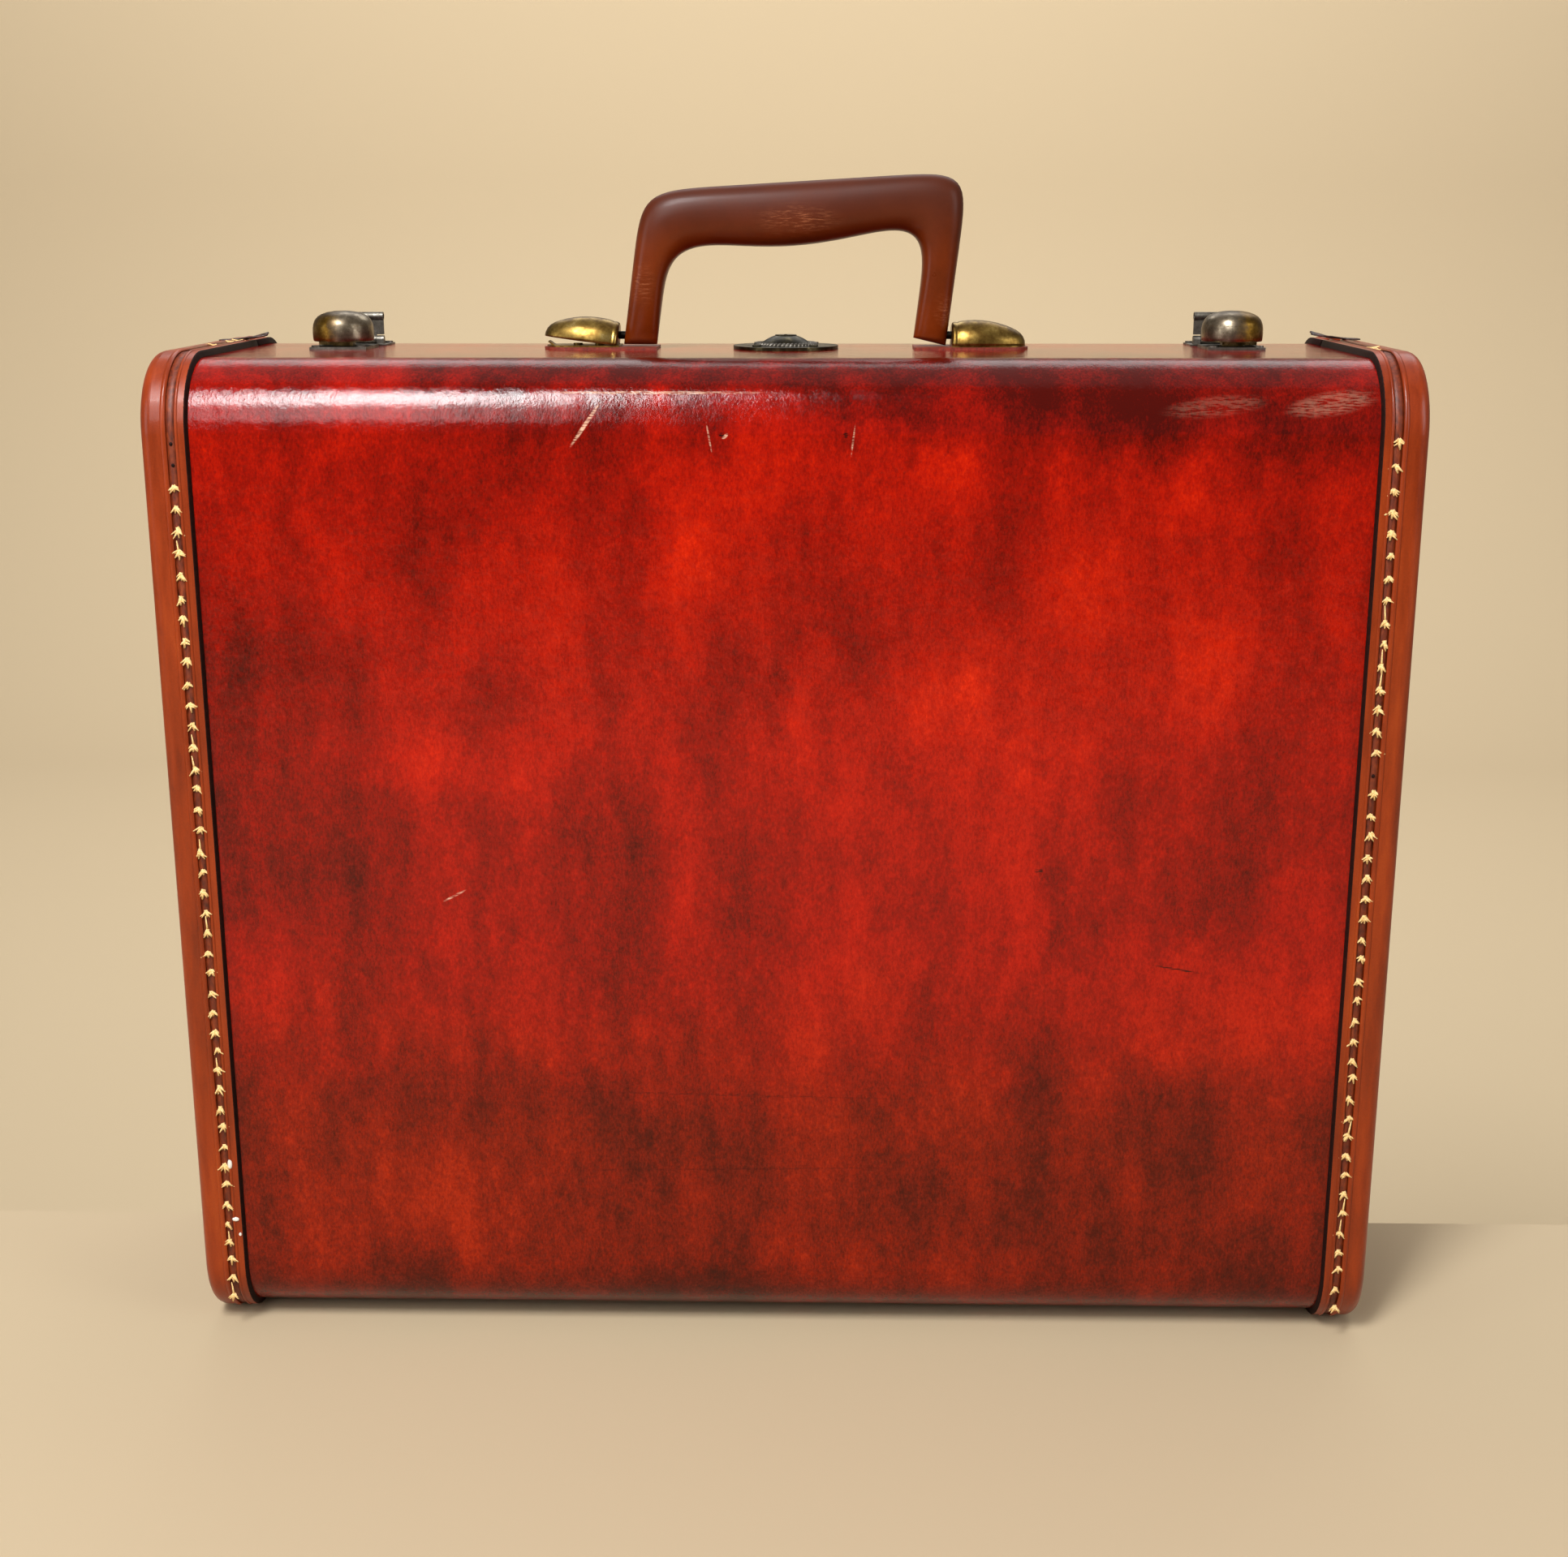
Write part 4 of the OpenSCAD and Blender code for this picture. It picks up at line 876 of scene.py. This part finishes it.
def add_grip_ring(shape, outer, inner, half_depth):
    """A rounded-square ring between the outer and the inner line of the handle."""
    middle, half = (outer + inner) * 0.5, (outer - inner) * 0.5
    ring = bmesh.ops.create_circle(shape, segments=RING_POINTS, radius=1)["verts"]
    for vert in ring:
        vert.co.x, vert.co.y = squared(math.atan2(vert.co.y, vert.co.x), RING_SQUARE)
    to_place = Matrix(
        (
            (half.x, 0, 0, middle.x),
            (0, half_depth, 0, 0),
            (half.z, 0, 1, middle.z),
            (0, 0, 0, 1),
        )
    )
    stand = Matrix.Translation((0, HARDWARE_Y, PIVOT_Z)) @ Matrix.Scale(MM, 4)
    bmesh.ops.transform(shape, matrix=stand @ to_place, verts=ring)
    return list({e for v in ring for e in v.link_edges})


def add_end_ring(shape, side, drop, inner_share):
    """A ring of a leg's rounded end, slimmer at its tip."""
    slim = TIP_SLIM if drop > TIP_DROP else 1.0
    outer = leaning(side * (GRIP_OUT[0] - 1 + slim), -drop)
    inner = leaning(side * (GRIP_IN[0] + 1 - slim), -drop * inner_share)
    return add_grip_ring(shape, outer, inner, math.sqrt(GRIP_EYE_R**2 - drop**2) * slim)


def build_grip():
    """The handle, ring by ring from the right leg's end over the palm to the left leg's end."""
    shape = bmesh.new()
    # The worn right leg ends on a slant, and both ends are rounded so that they clear the case as they swing
    rings = [add_end_ring(shape, SIDES["right"], drop, SLANTED_END) for drop in END_DROPS]
    for step in range(GRIP_STEPS + 1):
        angle = math.pi * step / GRIP_STEPS
        across, up = squared(angle, GRIP_SQUARE)
        outer = leaning(GRIP_OUT[0] * across, GRIP_OUT[1] * up)
        across, up = squared(angle, OPENING_SQUARE)
        fall = (GRIP_BELLY * (1 - across**2) ** 2 - GRIP_TILT * across) * up
        inner = leaning(GRIP_IN[0] * across, GRIP_IN[1] * up - fall)
        half_depth = GRIP_EYE_R + GRIP_PALM * math.sin(angle) ** PALM_POWER
        rings.append(add_grip_ring(shape, outer, inner, half_depth))
    rings += [add_end_ring(shape, SIDES["left"], drop, SQUARE_END) for drop in reversed(END_DROPS)]
    for near, far in zip(rings, rings[1:]):
        bmesh.ops.bridge_loops(shape, edges=near + far)
    close_and_face_out(shape)
    grip = new_piece("grip", shape, grip_stuff, "handle")
    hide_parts("handle_grip")


build_grip()


# Brackets: half teardrops with a rolled rim at the handle and a blunt round nose, as (length, radius) in mm
BRACKET_PROFILE = [
    (0.0, 0.0), (0.0, 7.6), (0.3, 8.3), (0.9, 8.62), (1.6, 8.66), (2.1, 8.5), (2.5, 8.66), (4.0, 9.05),
    (6.5, 9.32), (9.0, 9.4), (12.0, 9.28), (15.0, 8.9), (18.0, 8.26), (21.0, 7.38), (23.5, 6.42),
    (25.4, 5.5), (26.9, 4.4), (27.9, 3.2), (28.55, 1.8), (28.8, 0.0),
]
BRACKET_STEPS = 28
BRACKET_LIFTS = {"left": BRACKET_LIFT, "right": 0}
for name, side in SIDES.items():
    bracket = bmesh.new()
    chain = [bracket.verts.new((x * MM, -r * MM, 0)) for x, r in BRACKET_PROFILE]
    edges = [bracket.edges.new(pair) for pair in zip(chain, chain[1:])]
    spin_by(bracket, edges, (0, 0, 0), -2 * QUARTER, BRACKET_STEPS)
    close_and_face_out(bracket)
    lift = BRACKET_LIFTS[name]
    bmesh.ops.rotate(bracket, verts=bracket.verts, matrix=Matrix.Rotation(-lift, 3, "Y"))
    away = BRACKET_X + BRACKET_H * math.sin(lift)
    bmesh.ops.translate(bracket, verts=bracket.verts, vec=(away, HARDWARE_Y, BRACKET_Z))
    bmesh.ops.scale(bracket, verts=bracket.verts, vec=(side, 1, 1))
    bmesh.ops.recalc_face_normals(bracket, faces=bracket.faces)
    shell = new_piece("bracket_shell_" + name, bracket, brass, "base")
    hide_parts("handle_bracket_" + name)


# Latch domes: smooth pebbles drawn over the pressed caps, as (radius, height) in mm
DOME_Z = 381.5 * MM
DOME_PROFILE = [
    (0.0, -0.1), (11.3, -0.1), (11.62, 0.25), (11.75, 1.5), (11.8, 3.2), (11.72, 4.9), (11.4, 6.5),
    (10.75, 8.0), (9.7, 9.2), (8.1, 10.15), (6.0, 10.85), (3.2, 11.3), (0.0, 11.45),
]
DOME_STEPS = 48
for name, side in SIDES.items():
    dome = bmesh.new()
    chain = [dome.verts.new((r * MM, 0, z * MM)) for r, z in DOME_PROFILE]
    edges = [dome.edges.new(pair) for pair in zip(chain, chain[1:])]
    bmesh.ops.spin(
        dome, geom=edges, cent=(0, 0, 0), axis=(0, 0, 1), angle=math.tau, steps=DOME_STEPS, use_merge=True
    )
    close_and_face_out(dome)
    bmesh.ops.translate(dome, verts=dome.verts, vec=(side * LATCH_X, HARDWARE_Y, DOME_Z))
    new_piece("latch_dome_" + name, dome, dome_brass, "slide_" + name)


# Lock: a twisted rope of beads round the foot of the dome
ROPE_R = 11.7 * MM
ROPE_RISE = 0.35 * MM
ROPE_BEADS = 46
BEAD_HALF = (0.75 * MM, 1.35 * MM, 0.8 * MM)
BEAD_TWIST = math.radians(40)
BEAD_TILT = math.radians(30)
rope = bmesh.new()
centre = Matrix.Translation((0, HARDWARE_Y, FLANGE_TOP + ROPE_RISE))
slant = Matrix.Rotation(BEAD_TWIST, 4, "Z") @ Matrix.Rotation(BEAD_TILT, 4, "X")
bead = Matrix.Translation((ROPE_R, 0, 0)) @ slant @ Matrix.Diagonal((*BEAD_HALF, 1))
for index in range(ROPE_BEADS):
    turn = Matrix.Rotation(math.tau * index / ROPE_BEADS, 4, "Z")
    bmesh.ops.create_icosphere(rope, subdivisions=2, radius=1, matrix=centre @ turn @ bead)
new_piece("lock_rope_ring", rope, steel, "base")


# Torn tabs of leather that curl up from the bindings beside the seam: place and size in metres
TAB_OUT_X = 225 * MM
TAB_L = 19 * MM
TAB_Y = 24.4 * MM
TAB_HALF_D = 2.8 * MM
TAB_T = 0.5 * MM
TAB_GAP = 0.3 * MM
TAB_CURL = 2.4 * MM
TAB_WAVE = 0.5 * MM
TAB_TAPER = 0.35
TAB_RAGGED = 0.15
TAB_CELLS = (14, 4)
WAVES_ALONG, WAVES_OVER, RAGS_ALONG = 7, 2, 11
for name, side in SIDES.items():
    tab = bmesh.new()
    bmesh.ops.create_grid(tab, x_segments=TAB_CELLS[0], y_segments=TAB_CELLS[1], size=1)
    for vert in tab.verts:
        along, over = (vert.co.x + 1) / 2, vert.co.y
        wave = TAB_WAVE * math.sin(WAVES_ALONG * along + WAVES_OVER * over) * along
        rise = TAB_GAP + TAB_CURL * along**2 + wave
        width = TAB_HALF_D * (1 - TAB_TAPER * along + TAB_RAGGED * math.sin(RAGS_ALONG * along))
        vert.co = Vector((side * (TAB_OUT_X - TAB_L * along), TAB_Y + width * over, CASE_H + rise))
    bmesh.ops.recalc_face_normals(tab, faces=tab.faces)
    bmesh.ops.solidify(tab, geom=tab.faces, thickness=TAB_T)
    bmesh.ops.recalc_face_normals(tab, faces=tab.faces)
    new_piece("torn_tab_" + name, tab, torn_leather, "base")


# Floor, lights and camera

CAMERA_PLACE = Vector((17.3, -818.9, 424.5)) * MM
CAMERA_PITCH = math.radians(14.8)
CAMERA_YAW = math.radians(-1.25)
CAMERA_ROLL = math.radians(-0.045)
CAMERA_NEAR = 0.01
SENSOR_W = 36
FOCAL_PX = 2575
PHOTO_W = 1932


def build_camera():
    """The camera at the photograph's place, its lens from the focal length in pixels."""
    data = bpy.data.cameras.new("camera")
    data.sensor_width = SENSOR_W
    data.lens = FOCAL_PX * SENSOR_W / PHOTO_W
    data.clip_start = CAMERA_NEAR
    camera = bpy.data.objects.new("camera", data)
    turn = Matrix.Rotation(-CAMERA_YAW, 4, "Z") @ Matrix.Rotation(QUARTER - CAMERA_PITCH, 4, "X")
    camera.matrix_world = Matrix.Translation(CAMERA_PLACE) @ turn @ Matrix.Rotation(CAMERA_ROLL, 4, "Z")
    bpy.context.scene.collection.objects.link(camera)
    bpy.context.scene.camera = camera


# The floor in metres, along Y and Z: it steps down under the seam, which leaves room for the lid to swing
FLOOR_LINE = [(-4.0, 0.0), (0.026, 0.0), (-0.002, -0.05), (-0.002, -0.3), (2.0, -0.3)]
FLOOR_HALF_W = 4.0
FLOOR_COLOUR = "#baa88a"
CURVE_R = 0.8
CURVE_STEPS = 24
BACKDROP_UP = 0.5


def build_floor():
    """A pale floor with a step behind the case, which curves up into a backdrop."""
    line = list(FLOOR_LINE)
    start_y, start_z = line[-1]
    for step in range(1, CURVE_STEPS + 1):
        turn = QUARTER * step / CURVE_STEPS
        line.append((start_y + CURVE_R * math.sin(turn), start_z + CURVE_R * (1 - math.cos(turn))))
    line.append((line[-1][0], line[-1][1] + BACKDROP_UP))
    shape = bmesh.new()
    verts = [shape.verts.new((-FLOOR_HALF_W, y, z)) for y, z in line]
    edges = [shape.edges.new(pair) for pair in zip(verts, verts[1:])]
    extrude_by(shape, edges, (2 * FLOOR_HALF_W, 0, 0))
    bmesh.ops.recalc_face_normals(shape, faces=shape.faces)
    mesh = bpy.data.meshes.new("floor")
    shape.to_mesh(mesh)
    shape.free()
    for face in mesh.polygons:
        face.use_smooth = face.center.y > start_y
    material, *_ = new_material("pale_floor", Roughness=0.9, Base_Color=linear(FLOOR_COLOUR))
    mesh.materials.append(material)
    floor = bpy.data.objects.new("floor", mesh)
    bpy.context.scene.collection.objects.link(floor)


# Lamps: name, place, aim, width and height in metres, and power in watts
LAMPS = [
    ("window_top", (-0.46, -1.0, 1.6), (-0.12, -0.06, 0.37), (0.36, 0.62), 32),
    ("window_low", (-0.5, -1.42, 1.12), (-0.12, -0.06, 0.37), (0.4, 0.85), 7),
    ("ceiling", (0.1, 0.4, 2.0), (0, 0, 0), (2.4, 1.6), 4),
    ("left_fill", (-1.5, -0.9, 0.7), (0, 0, 0.2), (0.7, 1.0), 5),
    ("right_fill", (1.5, -0.9, 0.9), (0.1, 0, 0.2), (0.7, 1.0), 8),
    ("back_fill", (0.2, 1.7, 1.9), (0, 0, 0.1), (2.4, 1.0), 14),
    ("backdrop_wash", (0, 0.9, 2.2), (0, 2.8, 1.3), (3.0, 0.8), 90),
]
WORLD_COLOUR = "#efe5d6"
WORLD_STRENGTH = 0.3


def build_light():
    """Soft area lamps in a dim, warm surrounding."""
    world = bpy.data.worlds.new("studio")
    world.use_nodes = True
    background = world.node_tree.nodes["Background"]
    background.inputs["Color"].default_value = linear(WORLD_COLOUR)
    background.inputs["Strength"].default_value = WORLD_STRENGTH
    bpy.context.scene.world = world
    for name, place, aim, size, power in LAMPS:
        data = bpy.data.lights.new(name, "AREA")
        data.shape = "RECTANGLE"
        data.size, data.size_y = size
        data.energy = power
        lamp = bpy.data.objects.new(name, data)
        lamp.location = place
        lamp.rotation_euler = (Vector(aim) - Vector(place)).to_track_quat("-Z", "Y").to_euler()
        bpy.context.scene.collection.objects.link(lamp)


build_camera()
build_floor()
build_light()
bpy.context.scene.view_settings.view_transform = "Standard"
